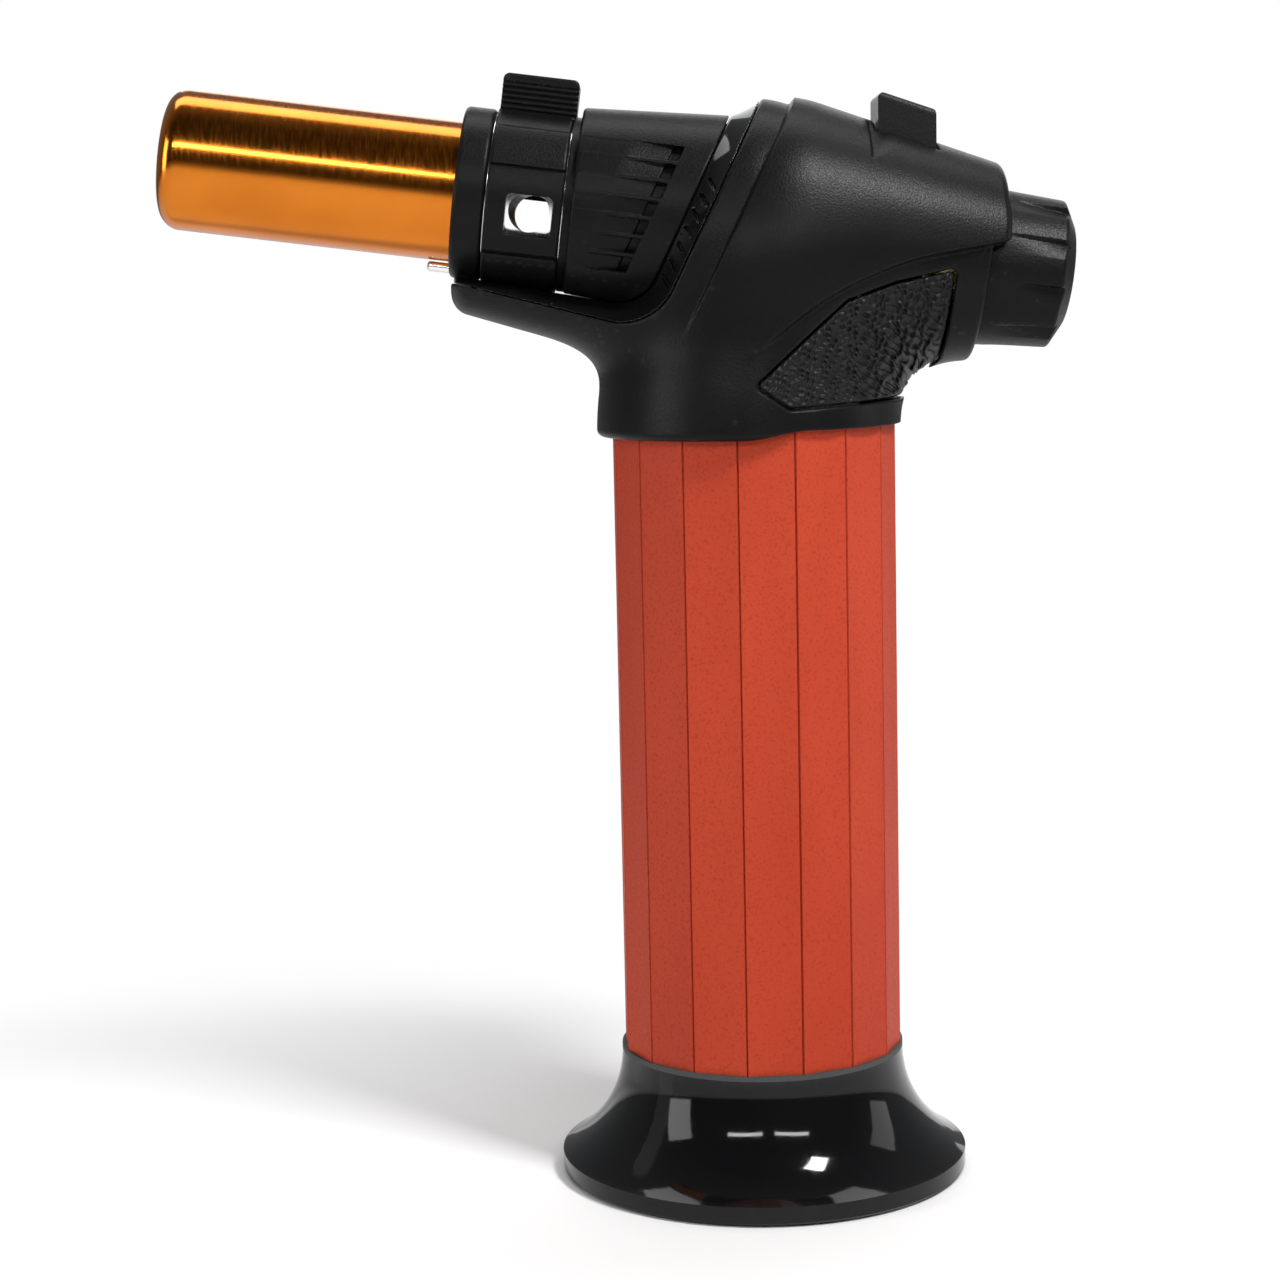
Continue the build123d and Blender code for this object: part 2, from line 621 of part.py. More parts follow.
def ignition_button():
    """Slides straight down; its lower flange keeps it inside the hood."""
    outline = Polyline(
        (BUTTON_FRONT, BUTTON_FRONT_TOP),
        (BUTTON_REAR, BUTTON_REAR_TOP),
        (BUTTON_REAR, BUTTON_FLANGE_REAR_TOP),
        (BUTTON_REAR + BUTTON_FLANGE, BUTTON_FLANGE_REAR_TOP),
        (BUTTON_REAR + BUTTON_FLANGE, BUTTON_BOTTOM),
        (BUTTON_FRONT - BUTTON_FLANGE, BUTTON_BOTTOM),
        (BUTTON_FRONT - BUTTON_FLANGE, BUTTON_FLANGE_FRONT_TOP),
        (BUTTON_FRONT, BUTTON_FLANGE_FRONT_TOP),
        close=True,
    )
    body = extrude(make_face(Plane.XZ * outline), amount=BUTTON_WIDTH / 2, both=True)
    top_edges = body.faces().sort_by(Axis.Z)[-1].edges()
    return fillet(top_edges, 0.8)


def piezo_body():
    body = block(
        (PIEZO_X - PIEZO_LENGTH / 2, PIEZO_X + PIEZO_LENGTH / 2),
        (-PIEZO_WIDTH / 2, PIEZO_WIDTH / 2),
        (PIEZO_BOTTOM, PIEZO_TOP),
    )
    bore_x = PLUNGER_LENGTH / 2 + RUNNING_GAP
    bore_y = PLUNGER_WIDTH / 2 + RUNNING_GAP
    return body - block((PIEZO_X - bore_x, PIEZO_X + bore_x), (-bore_y, bore_y), (PIEZO_FLOOR, PIEZO_TOP))


def piezo_plunger():
    return block(
        (PIEZO_X - PLUNGER_LENGTH / 2, PIEZO_X + PLUNGER_LENGTH / 2),
        (-PLUNGER_WIDTH / 2, PLUNGER_WIDTH / 2),
        (PLUNGER_BOTTOM, BUTTON_BOTTOM),
    )


def piezo_spring():
    return Pos(PIEZO_X, 0, 0) * helix_spring(1.4, 0.3, PIEZO_FLOOR + 0.02, PLUNGER_BOTTOM - 0.02, 6)


def ignition_wire():
    """Insulated lead from the piezo unit's front face to the electrode."""
    end = NOZZLE.from_local_coords(Vector(ELECTRODE_RISE, 0, MOUNT_START - 1))
    return bent_rod(
        0.7,
        (-1, 0, 0),
        NOZZLE.z_dir,
        (PIEZO_X - PIEZO_LENGTH / 2, 1.6, 135.0),
        (10.0, 2.6, 138.5),
        (2.0, 1.2, 142.0),
        end,
    )


def electrode():
    start = MOUNT_START - 1
    body = rod(ELECTRODE_RADIUS, start, BURNER_START + 6)
    return NOZZLE * Pos(ELECTRODE_RISE, 0, 0) * body


def electrode_insulator():
    body = pipe(INSULATOR_RADIUS, ELECTRODE_RADIUS, MOUNT_START, BURNER_START - 0.5)
    return NOZZLE * Pos(ELECTRODE_RISE, 0, 0) * body


# Head

def hood_section(station, inset):
    """Superellipse across the torch at one hood station."""
    x, top, bottom, half_width = station
    middle = (top + bottom) / 2
    half_height = (top - bottom) / 2 - inset
    half_width -= inset
    points = []
    for step in range(HOOD_POINTS):
        angle = 2 * pi * step / HOOD_POINTS
        across_part = copysign(abs(cos(angle)) ** (2 / HOOD_POWER), cos(angle))
        up_part = copysign(abs(sin(angle)) ** (2 / HOOD_POWER), sin(angle))
        points.append(Vector(x, half_width * across_part, middle + half_height * up_part))
    return Wire([Spline(*points, periodic=True)])


def ahead_of_rear(inset):
    """Everything in front of the hood's leaning rear face."""
    lean = (REAR_TOP[0] - REAR_BOTTOM[0]) / (REAR_TOP[1] - REAR_BOTTOM[1])
    low, high = REAR_BOTTOM[1] - FAR, REAR_TOP[1] + FAR
    return side_prism(
        Polyline(
            (-FAR, low),
            (REAR_BOTTOM[0] - lean * FAR - inset, low),
            (REAR_TOP[0] + lean * FAR - inset, high),
            (-FAR, high),
            close=True,
        )
    )


def below_lip():
    """Everything under the sloping lip of the chin, which passes beneath the air ring."""
    corner, tip = BEZEL_INNER[1], BEZEL_INNER[2]
    return side_prism(Polyline(tip, corner, (FAR, corner[1]), (FAR, 60), (-FAR, 60), (-FAR, tip[1]), close=True))


def head_envelope(inset):
    """The head's outer form, or the same form drawn in by inset."""
    hood = Solid.make_loft([hood_section(station, inset) for station in HOOD_STATIONS])
    hood &= ahead_of_rear(inset)
    neck = rod(SKIRT_RADIUS - inset, SKIRT_BOTTOM, SKIRT_SHOULDER)
    if inset == 0:
        neck = fillet(neck.edges().group_by(Axis.Z)[0], SKIRT_ROUNDING)
    neck += Pos(0, 0, SKIRT_SHOULDER) * Cone(
        SKIRT_RADIUS - inset,
        NECK_TOP_RADIUS - inset,
        NECK_TOP - SKIRT_SHOULDER,
        align=(Align.CENTER, Align.CENTER, Align.MIN),
    )
    return hood + neck + barrel_form(inset) + chin_form(inset)


def barrel_form(inset):
    length = SHROUD_FRONT + BARREL_REAR
    growth = length * sin(radians(SHROUD_TAPER))
    cone = Cone(
        SHROUD_FRONT_RADIUS + growth - inset,
        SHROUD_FRONT_RADIUS - inset,
        length,
        align=(Align.CENTER, Align.CENTER, Align.MIN),
    )
    return NOZZLE * Pos(0, 0, -BARREL_REAR) * cone


def chin_form(inset):
    cone = Cone(
        CHIN_REAR_RADIUS - inset,
        CHIN_FRONT_RADIUS - inset,
        CHIN_FRONT - CHIN_REAR - inset,
        align=(Align.CENTER, Align.CENTER, Align.MIN),
    )
    return (NOZZLE * Pos(0, 0, CHIN_REAR) * cone) & below_lip()


def inside_edge(edge, bend):
    """Side-view region in front of one of the bezel's two edges."""
    top, corner, tip = edge
    outline = FilletPolyline(top, corner, tip, (-FAR, tip[1]), (-FAR, top[1]), radius=(0, bend, 0, 0, 0), close=True)
    return side_prism(outline)


def ring_space():
    """Room in front of the shroud for the air ring to turn."""
    return NOZZLE * rod(RING_CLEARANCE_RADIUS, SHROUD_FRONT, CHIN_FRONT + 10)


def barrel_shroud():
    """Tapered cover round the rear of the air sleeve, with louvres on both sides."""
    body = barrel_form(0) & inside_edge(BEZEL_INNER, BEZEL_INNER_BEND)
    body -= NOZZLE * rod(AIR_SLEEVE_RADIUS, -FAR, FAR)
    louvres = None
    for louvre in range(LOUVRE_COUNT):
        height = LOUVRE_TOP - louvre * LOUVRE_PITCH
        start = LOUVRE_TOP_START + louvre * LOUVRE_STEP
        slot = block((height - 0.75, height + 0.75), (-FAR, FAR), (start, LOUVRE_END))
        louvres = slot if louvres is None else louvres + slot
    louvres -= rod(SHROUD_FRONT_RADIUS - 1.3, -FAR, FAR)
    spigot = pipe(SHROUD_SPIGOT_RADIUS, AIR_SLEEVE_RADIUS, SHROUD_FRONT - 1, AIR_RING_START - 0.1)
    return body - NOZZLE * louvres + NOZZLE * spigot


def head_bezel(form, hollow):
    band = inside_edge(BEZEL_OUTER, BEZEL_OUTER_BEND) - inside_edge(BEZEL_INNER, BEZEL_INNER_BEND)
    ring = (form - hollow) & band
    ring -= ring_space()
    return ring - NOZZLE * rod(AIR_SLEEVE_RADIUS + 0.1, -FAR, FAR)


def grip_face(gap):
    face = make_face(Plane.XZ * Polyline(*GRIP_OUTLINE, close=True))
    face = fillet(face.vertices(), 1.2)
    return offset(face, -gap) if gap else face


def grip_side(side, gap):
    """Right prism of a grip insert's outline, on one side of the head."""
    prism = extrude(grip_face(gap), amount=FAR, both=True)
    y_range = (0, FAR) if side > 0 else (-FAR, 0)
    return prism & block((-FAR, FAR), y_range, (60, 200))


def grip_insert(side, outer, inner):
    return (outer - inner) & grip_side(side, GRIP_GAP)


def screw_bosses():
    """Solid pillars across the head, one per shell screw."""
    bosses = None
    for x, z in SCREW_PLACES:
        boss = across(x, z, SCREW_BOSS_RADIUS, -FAR, FAR)
        bosses = boss if bosses is None else bosses + boss
    return bosses


def screw_holes():
    holes = None
    for x, z in SCREW_PLACES:
        hole = across(x, z, SCREW_SHANK_RADIUS, SCREW_TIP - 0.5, SCREW_SEAT)
        hole += across(x, z, SCREW_HEAD_RADIUS + 0.2, SCREW_SEAT, FAR)
        holes = hole if holes is None else holes + hole
    return holes


def shell_screws():
    """Three equal screws, driven from the +Y side."""
    screws = []
    for x, z in SCREW_PLACES:
        screw = across(x, z, SCREW_SHANK_RADIUS, SCREW_TIP, SCREW_SEAT)
        screw += across(x, z, SCREW_HEAD_RADIUS, SCREW_SEAT, SCREW_SEAT + SCREW_HEAD_HEIGHT)
        top = SCREW_SEAT + SCREW_HEAD_HEIGHT
        for size in ((1.6, 0.3), (0.3, 1.6)):
            screw -= block((x - size[0], x + size[0]), (top - 0.9, top), (z - size[1], z + size[1]))
        screws.append(screw)
    return Compound(children=screws)


def inner_ribs():
    """Walls inside the shells that locate the cap, the piezo unit, the valve and the burner."""
    ribs = pipe(SKIRT_RADIUS, CAP_NECK_RADIUS + 0.1, CAP_PLATE_TOP + 0.1, CAP_FLANGE_BOTTOM - 0.1)
    ribs += block((PIEZO_X - 5.5, PIEZO_X + 1.5), (-FAR, FAR), (PIEZO_BOTTOM - 1.6, PIEZO_BOTTOM))
    ribs += KNOB * pipe(FAR, VALVE_RADIUS, VALVE_END - 1.6, VALVE_END - 0.3)
    saddle = pipe(SADDLE_REACH, MOUNT_SPIGOT_RADIUS, MOUNT_START + 1, MOUNT_START + 3)
    return ribs + NOZZLE * saddle + screw_bosses()


def head_shells(form, hollow, grip_floor):
    """The two moulded halves: outer wall, inner ribs, and every opening cut."""
    front = inside_edge(BEZEL_OUTER, BEZEL_OUTER_BEND)
    wall = form - hollow
    wall += (inner_ribs() & hollow) - rod(OUTLET_RADIUS + 2, SKIRT_BOTTOM, SKIRT_BOTTOM + 20)
    wall -= front
    wall -= ring_space()
    wall -= screw_holes()
    wall -= rod(SLEEVE_RADIUS + 0.1, SKIRT_BOTTOM, SLEEVE_TOP + 0.1)
    wall -= KNOB * rod(GLAND_RADIUS + 0.3, VALVE_END - 0.3, GLAND_END)
    wall -= KNOB * rod(KNOB_RADIUS + KNOB_RECESS_GAP, KNOB_START - KNOB_RECESS_GAP, KNOB_END)
    wall -= block(
        (BUTTON_FRONT - BUTTON_GAP, BUTTON_REAR + BUTTON_GAP),
        (-BUTTON_WIDTH / 2 - BUTTON_GAP, BUTTON_WIDTH / 2 + BUTTON_GAP),
        (BUTTON_BOTTOM, 170),
    )
    for side in (-1, 1):
        wall -= grip_side(side, 0) - grip_floor
    half = block((-FAR, FAR), (0, FAR), (60, 200))
    return wall - half, wall & half


def build():
    form = head_envelope(0)
    hollow = head_envelope(HEAD_WALL)
    grip_top = head_envelope(GRIP_RECESS)
    grip_floor = head_envelope(GRIP_RECESS + GRIP_THICKNESS)
    left, right = head_shells(form, hollow, grip_floor)
    return {
        "base_foot": base_foot(),
        "base_gasket": base_gasket(),
        "handle_sleeve": handle_sleeve(),
        "fuel_tank": fuel_tank(),
        "tank_cap": tank_cap(),
        "tank_seal": tank_seal(),
        "fuel_wick": fuel_wick(),
        "outlet_fitting": outlet_fitting(),
        "fill_valve_body": fill_valve_body(),
        "fill_valve_stem": fill_valve_stem(),
        "fill_valve_seal": fill_valve_seal(),
        "fill_valve_spring": fill_valve_spring(),
        "feed_tube": feed_tube(),
        "valve_block": valve_block(),
        "gland_nut": gland_nut(),
        "spindle_seal": spindle_seal(),
        "valve_spindle": valve_spindle(),
        "control_knob": control_knob(),
        "knob_screw": knob_screw(),
        "gas_line": gas_line(),
        "burner_mount": burner_mount(),
        "gas_jet": gas_jet(),
        "air_sleeve": air_sleeve(),
        "front_collar": front_collar(),
        "tube_retaining_pin": tube_retaining_pin(),
        "flame_tube": flame_tube(),
        "mixing_tube": mixing_tube(),
        "burner_head": burner_head(),
        "air_ring": air_ring(),
        "ignition_button": ignition_button(),
        "piezo_body": piezo_body(),
        "piezo_plunger": piezo_plunger(),
        "piezo_spring": piezo_spring(),
        "ignition_wire": ignition_wire(),
        "electrode": electrode(),
        "electrode_insulator": electrode_insulator(),
        "head_shell_left": left,
        "head_shell_right": right,
        "barrel_shroud": barrel_shroud(),
        "head_bezel": head_bezel(head_envelope(BEZEL_RECESS), hollow),
        "grip_insert_left": grip_insert(-1, grip_top, grip_floor),
        "grip_insert_right": grip_insert(1, grip_top, grip_floor),
        "shell_screws": shell_screws(),
    }


os.makedirs("parts", exist_ok=True)
for name, shape in build().items():
    export_step(shape, f"parts/{name}.step")
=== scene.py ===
import json
from math import cos, radians, sin, sqrt

import bpy
import numpy as np
from mathutils import Matrix, Vector


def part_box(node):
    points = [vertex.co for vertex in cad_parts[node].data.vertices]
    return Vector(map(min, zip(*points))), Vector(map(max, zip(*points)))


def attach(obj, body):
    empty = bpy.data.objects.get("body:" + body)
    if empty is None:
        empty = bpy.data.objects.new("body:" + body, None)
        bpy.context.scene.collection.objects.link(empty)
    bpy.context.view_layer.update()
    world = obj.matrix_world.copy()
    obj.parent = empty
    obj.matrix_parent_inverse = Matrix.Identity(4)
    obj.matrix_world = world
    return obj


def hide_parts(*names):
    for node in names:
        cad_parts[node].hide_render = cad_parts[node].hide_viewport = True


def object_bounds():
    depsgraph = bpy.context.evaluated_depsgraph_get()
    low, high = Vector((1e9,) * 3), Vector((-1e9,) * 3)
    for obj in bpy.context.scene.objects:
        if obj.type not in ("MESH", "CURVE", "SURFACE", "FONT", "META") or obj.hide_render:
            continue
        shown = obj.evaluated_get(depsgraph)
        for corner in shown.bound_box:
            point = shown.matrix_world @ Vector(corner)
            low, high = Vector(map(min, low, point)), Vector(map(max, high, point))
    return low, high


# Looks of a butane torch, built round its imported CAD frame. The moulded pieces of the head are
# drawn as signed distance fields in millimetres, in the row frame, and meshed from them.

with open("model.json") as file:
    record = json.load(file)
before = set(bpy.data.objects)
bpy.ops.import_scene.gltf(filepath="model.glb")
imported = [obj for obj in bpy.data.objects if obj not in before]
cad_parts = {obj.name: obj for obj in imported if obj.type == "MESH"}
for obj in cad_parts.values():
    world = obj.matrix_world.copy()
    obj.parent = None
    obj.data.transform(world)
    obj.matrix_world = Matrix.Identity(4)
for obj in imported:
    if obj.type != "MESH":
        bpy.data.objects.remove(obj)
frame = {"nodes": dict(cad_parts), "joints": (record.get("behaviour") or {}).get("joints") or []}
cad_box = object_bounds()

MM = 0.001
STEP = 0.3
FINE_STEP = 0.2
EDGE = 0.35
SEAM = 0.06

# Head, hood and neck
HOOD_REAR = 35.0
HOOD_REAR_X = 35.2
HOOD_REAR_RADIUS = 14.0
HOOD_GROWTH = 0.205
HOOD_CREST = 3.0
HOOD_CREST_RADIUS = 21.0
HOOD_FRONT_GROWTH = 0.4
HOOD_CREST_BLEND = 3.0
HOOD_REAR_ROUNDING = 1.0
NECK_RADIUS = 22.0
NECK_SHOULDER = 112.0
NECK_SHRINK = 0.267
NECK_SHOULDER_BLEND = 1.5
NECK_TOP = 131.0
NECK_TOP_BLEND = 6.0
NECK_BLEND = 9.0
SKIRT_BOTTOM = 106.1
SKIRT_ROUNDING = 1.0
HEAD_WALL = 2.0
HOLLOW_REAR = 30.5
SLEEVE_BORE_RADIUS = 20.1
SLEEVE_BORE_TOP = 108.1
SPINDLE_HOLE_START = 28.0
SPINDLE_HOLE_RADIUS = 4.9
SCREW_BOSS_RADIUS = 3.4
SCREW_HEAD_HEIGHT = 1.8

# Chin under the air ring
CHIN_STATION = 31.8
CHIN_DROP = 4.5
CHIN_DROP_GROWTH = 0.04
CHIN_RADIUS = 13.3
CHIN_GROWTH = 0.12
CHIN_FRONT = 40.4
CHIN_REAR = -2.0
CHIN_REAR_BLEND = 8.0
CHIN_ROUNDING = 2.4
CHIN_BLEND = 6.0
RING_POCKET = 12.65
RING_POCKET_WALL = 1.6

# Side view (x, z): the bezel's outer and inner edges, the crease over the grip, and the grip
BEZEL_OUTER = ((9.1, 167.0), (-14.0, 120.75), (-46.0, 129.2))
BEZEL_INNER = ((5.5, 166.7), (-15.2, 124.1), (-46.0, 129.9))
BEZEL_OUTER_BEND = 6.0
BEZEL_INNER_BEND = 4.0
BEZEL_WALL = 3.0
STRAP_WIDTH = 3.8
STRAP_STEP = 0.9
STRAP_INSET = 0.1
STRAP_EDGE = 0.35
STRAP_FADE_START = 119.0
STRAP_FADE = 14.0
REAR_BAND = 2.3
CREASE = ((33.1, 132.1), (14.0, 129.0), (-2.3, 116.6))
CREASE_BEND = 5.0
CREASE_DEPTH = 1.2
CREASE_WIDTH = 0.7
CREASE_FADE = 9.0
GRIP_OUTLINE = (
    (26.6, 127.6),
    (19.3, 126.2),
    (12.6, 123.9),
    (0.6, 113.4),
    (4.4, 110.8),
    (20.8, 111.6),
    (25.2, 116.5),
)
GRIP_ROUNDING = 0.8
GRIP_GROOVE = 0.28
GRIP_POCKET = 1.6
GRAIN_HEIGHT = 0.22
TICK_COUNT = 7
TICK_TOP = (-5.6, 140.4)
TICK_BOTTOM = (-12.0, 127.6)

# Shroud round the rear of the nozzle
SHROUD_TAPER = 0.0628
SHROUD_BORE = 11.45
SHROUD_REAR = -3.5
SHROUD_SPIGOT_RADIUS = 12.1
SHROUD_TONGUE = 1.2
TONGUE_REACH = 1.5
LOUVRE_COUNT = 7
LOUVRE_PITCH = 2.6
LOUVRE_TOP = 8.2
LOUVRE_TOP_START = 10.4
LOUVRE_LEAN = 0.34
LOUVRE_HALF_WIDTH = 1.05
LOUVRE_LENGTH = 7.5
LOUVRE_DEPTH = 0.8
LOUVRE_WELL = 1.2
LOUVRE_WELL_DEPTH = 1.2

# Air ring
RING_GROOVE_HEIGHTS = (4.0, -7.8)
RING_GROOVE_HALF_WIDTH = 0.25
RING_GROOVE_DEPTH = 0.5
RING_STEP_HEIGHT = 9.6
RING_STEP_DEPTH = 0.35
LEVER_RIB_COUNT = 6
LEVER_RIB_PITCH = 0.75
LEVER_RIB_DEPTH = 0.35
LEVER_HALF_WIDTH = 3.5
WINDOW_HALF_LENGTH = 3.2
WINDOW_DROP = 2.4
WINDOW_HALF_HEIGHT = 2.75

# Knob
KNOB_NOSE_LENGTH = 1.9
KNOB_END_RADIUS = 10.3
KNOB_NOSE_RADIUS = 6.7
KNOB_NOTCH_COUNT = 10
KNOB_NOTCH_ANGLE = 24.0
KNOB_NOTCH_START = 34.5
KNOB_NOTCH_DEPTH = 1.0
KNOB_NOTCH_STEEP = 0.4
KNOB_NOTCH_GENTLE = 2.4
KNOB_RECESS_GAP = 0.3

# Ignition button
BUTTON_GAP = 0.3
RELIEF_FRONT = -1.3
RELIEF_REAR = -2.0
RELIEF_TOP = 147.6
RELIEF_FALL = 0.55

# Directions and origins shared by the head's pieces, from the frame's own joints
JOINTS = {joint["name"]: joint for joint in frame["joints"]}
ACROSS = np.array((0.0, 1.0, 0.0))


def joint_line(name):
    """A joint's position (mm) and its unit axis."""
    joint = JOINTS[name]
    return np.array(joint["pos_m"]) / MM, np.array(joint["axis"])


RING_POSITION, NOZZLE_WAY = joint_line("air_ring_turn")
KNOB_POSITION, KNOB_WAY = joint_line("flame_knob_turn")
UP_WAY = np.cross(ACROSS, NOZZLE_WAY)
NOZZLE_ORIGIN = RING_POSITION - NOZZLE_WAY * (RING_POSITION[0] / NOZZLE_WAY[0])
KNOB_ORIGIN = KNOB_POSITION + KNOB_WAY * ((NOZZLE_ORIGIN - KNOB_POSITION) @ KNOB_WAY)


def corners(node):
    """A CAD node's vertices, in mm."""
    mesh = frame["nodes"][node].data
    places = np.empty(len(mesh.vertices) * 3, np.float32)
    mesh.vertices.foreach_get("co", places)
    return places.reshape(-1, 3).astype(float) / MM


def span(node, way, origin=NOZZLE_ORIGIN):
    """How far a CAD node reaches along a direction: (nearest, farthest), in mm."""
    reach = (corners(node) - origin) @ way
    return reach.min(), reach.max()


def outer_radius(node, way, origin=NOZZLE_ORIGIN):
    """Largest distance of a CAD node from an axis, in mm."""
    places = corners(node) - origin
    return np.linalg.norm(np.cross(places, way), axis=1).max()


SHROUD_FRONT = 24.8
SHROUD_FRONT_RADIUS = 13.5
SPIGOT_END = span("barrel_shroud", NOZZLE_WAY)[1]
RING_START, RING_END = 26.0, span("air_ring", NOZZLE_WAY)[1]
RING_TOP = span("air_ring", UP_WAY)[1]
RING_LOW = span("air_ring", UP_WAY)[0]
KNOB_START, KNOB_END = span("control_knob", KNOB_WAY, KNOB_ORIGIN)
KNOB_START_RADIUS = outer_radius("control_knob", KNOB_WAY, KNOB_ORIGIN)
KNOB_SIDE_END = KNOB_END - KNOB_NOSE_LENGTH
BUTTON_LOW, BUTTON_HIGH = (np.array(corner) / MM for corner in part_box("ignition_button"))


class Place:
    """An array of points in the row frame, along the nozzle and along the knob's axis, in mm."""

    def __init__(self, points):
        self.x, self.y, self.z = points.T
        from_nozzle = points - NOZZLE_ORIGIN
        self.s = from_nozzle @ NOZZLE_WAY
        self.u = from_nozzle @ UP_WAY
        self.r = np.hypot(self.u, self.y)
        from_knob = points - KNOB_ORIGIN
        self.k = from_knob @ KNOB_WAY
        self.h = from_knob @ UP_WAY
        self.knob_r = np.hypot(self.h, self.y)


# Combining signed distances

def smooth_min(a, b, reach):
    overlap = np.maximum(reach - np.abs(a - b), 0)
    return np.minimum(a, b) - overlap**2 / (4 * reach)


def smooth_max(a, b, reach):
    return -smooth_min(-a, -b, reach)


def round_max(a, b, radius):
    """Intersection of two forms whose common edge has that radius."""
    outside = np.hypot(np.maximum(a + radius, 0), np.maximum(b + radius, 0)) - radius
    return np.where((a < -radius) | (b < -radius), np.maximum(a, b), outside)


def ease(value):
    """Smooth step from 0 to 1 over 0..1."""
    value = np.clip(value, 0, 1)
    return value * value * (3 - 2 * value)


def half_plane(x, z, start, end):
    """Signed distance from a side-view line: positive on the right of the way from start to end."""
    way = np.array(end) - np.array(start)
    way /= np.linalg.norm(way)
    return (x - start[0]) * way[1] - (z - start[1]) * way[0]


def outline_distance(x, z, outline):
    """Signed distance from a closed side-view polygon, negative inside."""
    distance = np.full(x.shape, np.inf)
    inside = np.zeros(x.shape, bool)
    for start, end in zip(outline, outline[1:] + outline[:1]):
        way = np.array(end) - np.array(start)
        dx, dz = x - start[0], z - start[1]
        along = np.clip((dx * way[0] + dz * way[1]) / (way @ way), 0, 1)
        distance = np.minimum(distance, np.hypot(dx - along * way[0], dz - along * way[1]))
        spans = (start[1] > z) != (end[1] > z)
        with np.errstate(divide="ignore", invalid="ignore"):
            inside ^= spans & (dx < way[0] * dz / way[1])
    return np.where(inside, -distance, distance)


def edge_distance(at, edge, bend):
    """Signed distance from one of the bezel's two edges, positive towards the head."""
    top, corner, tip = edge
    behind = half_plane(at.x, at.z, corner, top)
    below = half_plane(at.x, at.z, tip, corner)
    return round_max(behind, below, bend)


# Forms of the head

def hood_form(at):
    rear = (at.knob_r - HOOD_REAR_RADIUS - HOOD_GROWTH * (HOOD_REAR - at.k)) / sqrt(1 + HOOD_GROWTH**2)
    front_radius = HOOD_CREST_RADIUS + HOOD_FRONT_GROWTH * (at.k - HOOD_CREST)
    front = (at.knob_r - front_radius) / sqrt(1 + HOOD_FRONT_GROWTH**2)
    return smooth_max(rear, front, HOOD_CREST_BLEND)


def neck_form(at):
    radius = np.hypot(at.x, at.y)
    cone = (radius - NECK_RADIUS + NECK_SHRINK * (at.z - NECK_SHOULDER)) / sqrt(1 + NECK_SHRINK**2)
    side = smooth_max(radius - NECK_RADIUS, cone, NECK_SHOULDER_BLEND)
    return smooth_max(side, at.z - NECK_TOP, NECK_TOP_BLEND)


def chin_form(at):
    behind = CHIN_STATION - at.s
    radius = CHIN_RADIUS + CHIN_GROWTH * behind
    drop = CHIN_DROP + CHIN_DROP_GROWTH * behind
    cone = np.hypot(at.u + drop, at.y) - radius
    cone = smooth_max(cone, CHIN_REAR - at.s, CHIN_REAR_BLEND)
    return round_max(cone, at.s - CHIN_FRONT, CHIN_ROUNDING)


def head_form(at):
    """The head's plain outer form, before its steps, seams and openings."""
    form = smooth_min(hood_form(at), neck_form(at), NECK_BLEND)
    form = smooth_min(form, chin_form(at), CHIN_BLEND)
    rear = np.maximum(at.k - HOOD_REAR, at.x - HOOD_REAR_X)
    form = round_max(form, rear, HOOD_REAR_ROUNDING)
    return round_max(form, SKIRT_BOTTOM - at.z, SKIRT_ROUNDING)


def crease_share(at):
    """1 in the stepped-in area under the crease, 0 above it, fading out towards the front."""
    rear, bend, front = CREASE
    above = half_plane(at.x, at.z, rear, bend)
    ahead = half_plane(at.x, at.z, bend, front)
    below = -round_max(above, ahead, CREASE_BEND)
    return ease(below / CREASE_WIDTH) * ease((at.x - front[0]) / CREASE_FADE)


def strap_inset(at):
    """How far the strap between the bezel and the hood lies below the hood's surface."""
    top, corner, _ = BEZEL_OUTER
    behind = half_plane(at.x, at.z, corner, top)
    fade = ease((at.z - STRAP_FADE_START) / STRAP_FADE)
    slope = STRAP_INSET + STRAP_STEP * np.clip(behind / STRAP_WIDTH, 0, 1)
    return fade * slope * (1 - ease((behind - STRAP_WIDTH) / STRAP_EDGE))


def head_surface(at):
    """The head's outer surface with the strap's and the crease's steps."""
    rear_step = np.maximum(at.k - HOOD_REAR + REAR_BAND, at.x - HOOD_REAR_X + REAR_BAND)
    share = crease_share(at)
    form = head_form(at) + strap_inset(at) + CREASE_DEPTH * share
    return np.where(share > 0, smooth_max(form, rear_step - 60 * (1 - share), 0.8), form)


def ring_pocket(at, gap):
    """Room in front of the shroud for the air ring, negative inside."""
    return np.maximum(at.r - RING_POCKET - gap, SHROUD_FRONT - gap - at.s)


def button_opening(at):
    """The slot that the ignition button slides in."""
    half = (BUTTON_HIGH - BUTTON_LOW) / 2
    middle = (BUTTON_HIGH + BUTTON_LOW) / 2
    front = BUTTON_TOP_FRONT - BUTTON_GAP
    slot_x = np.abs(at.x - (front + BUTTON_TOP_REAR + BUTTON_GAP) / 2)
    slot_x -= (BUTTON_TOP_REAR + BUTTON_GAP - front) / 2
    slot = np.maximum(slot_x, np.abs(at.y - middle[1]) - half[1] - BUTTON_GAP)
    return np.maximum(slot, BUTTON_LOW[2] - at.z)


def button_relief(at):
    """A notch beside the button whose floor falls away outwards."""
    side = np.abs(at.y) - BUTTON_HIGH[1]
    floor = (RELIEF_TOP - RELIEF_FALL * side - at.z) / sqrt(1 + RELIEF_FALL**2)
    front = BUTTON_TOP_FRONT + RELIEF_FRONT - at.x
    rear = at.x - BUTTON_TOP_REAR - RELIEF_REAR
    return np.maximum(np.maximum(front, rear), floor)


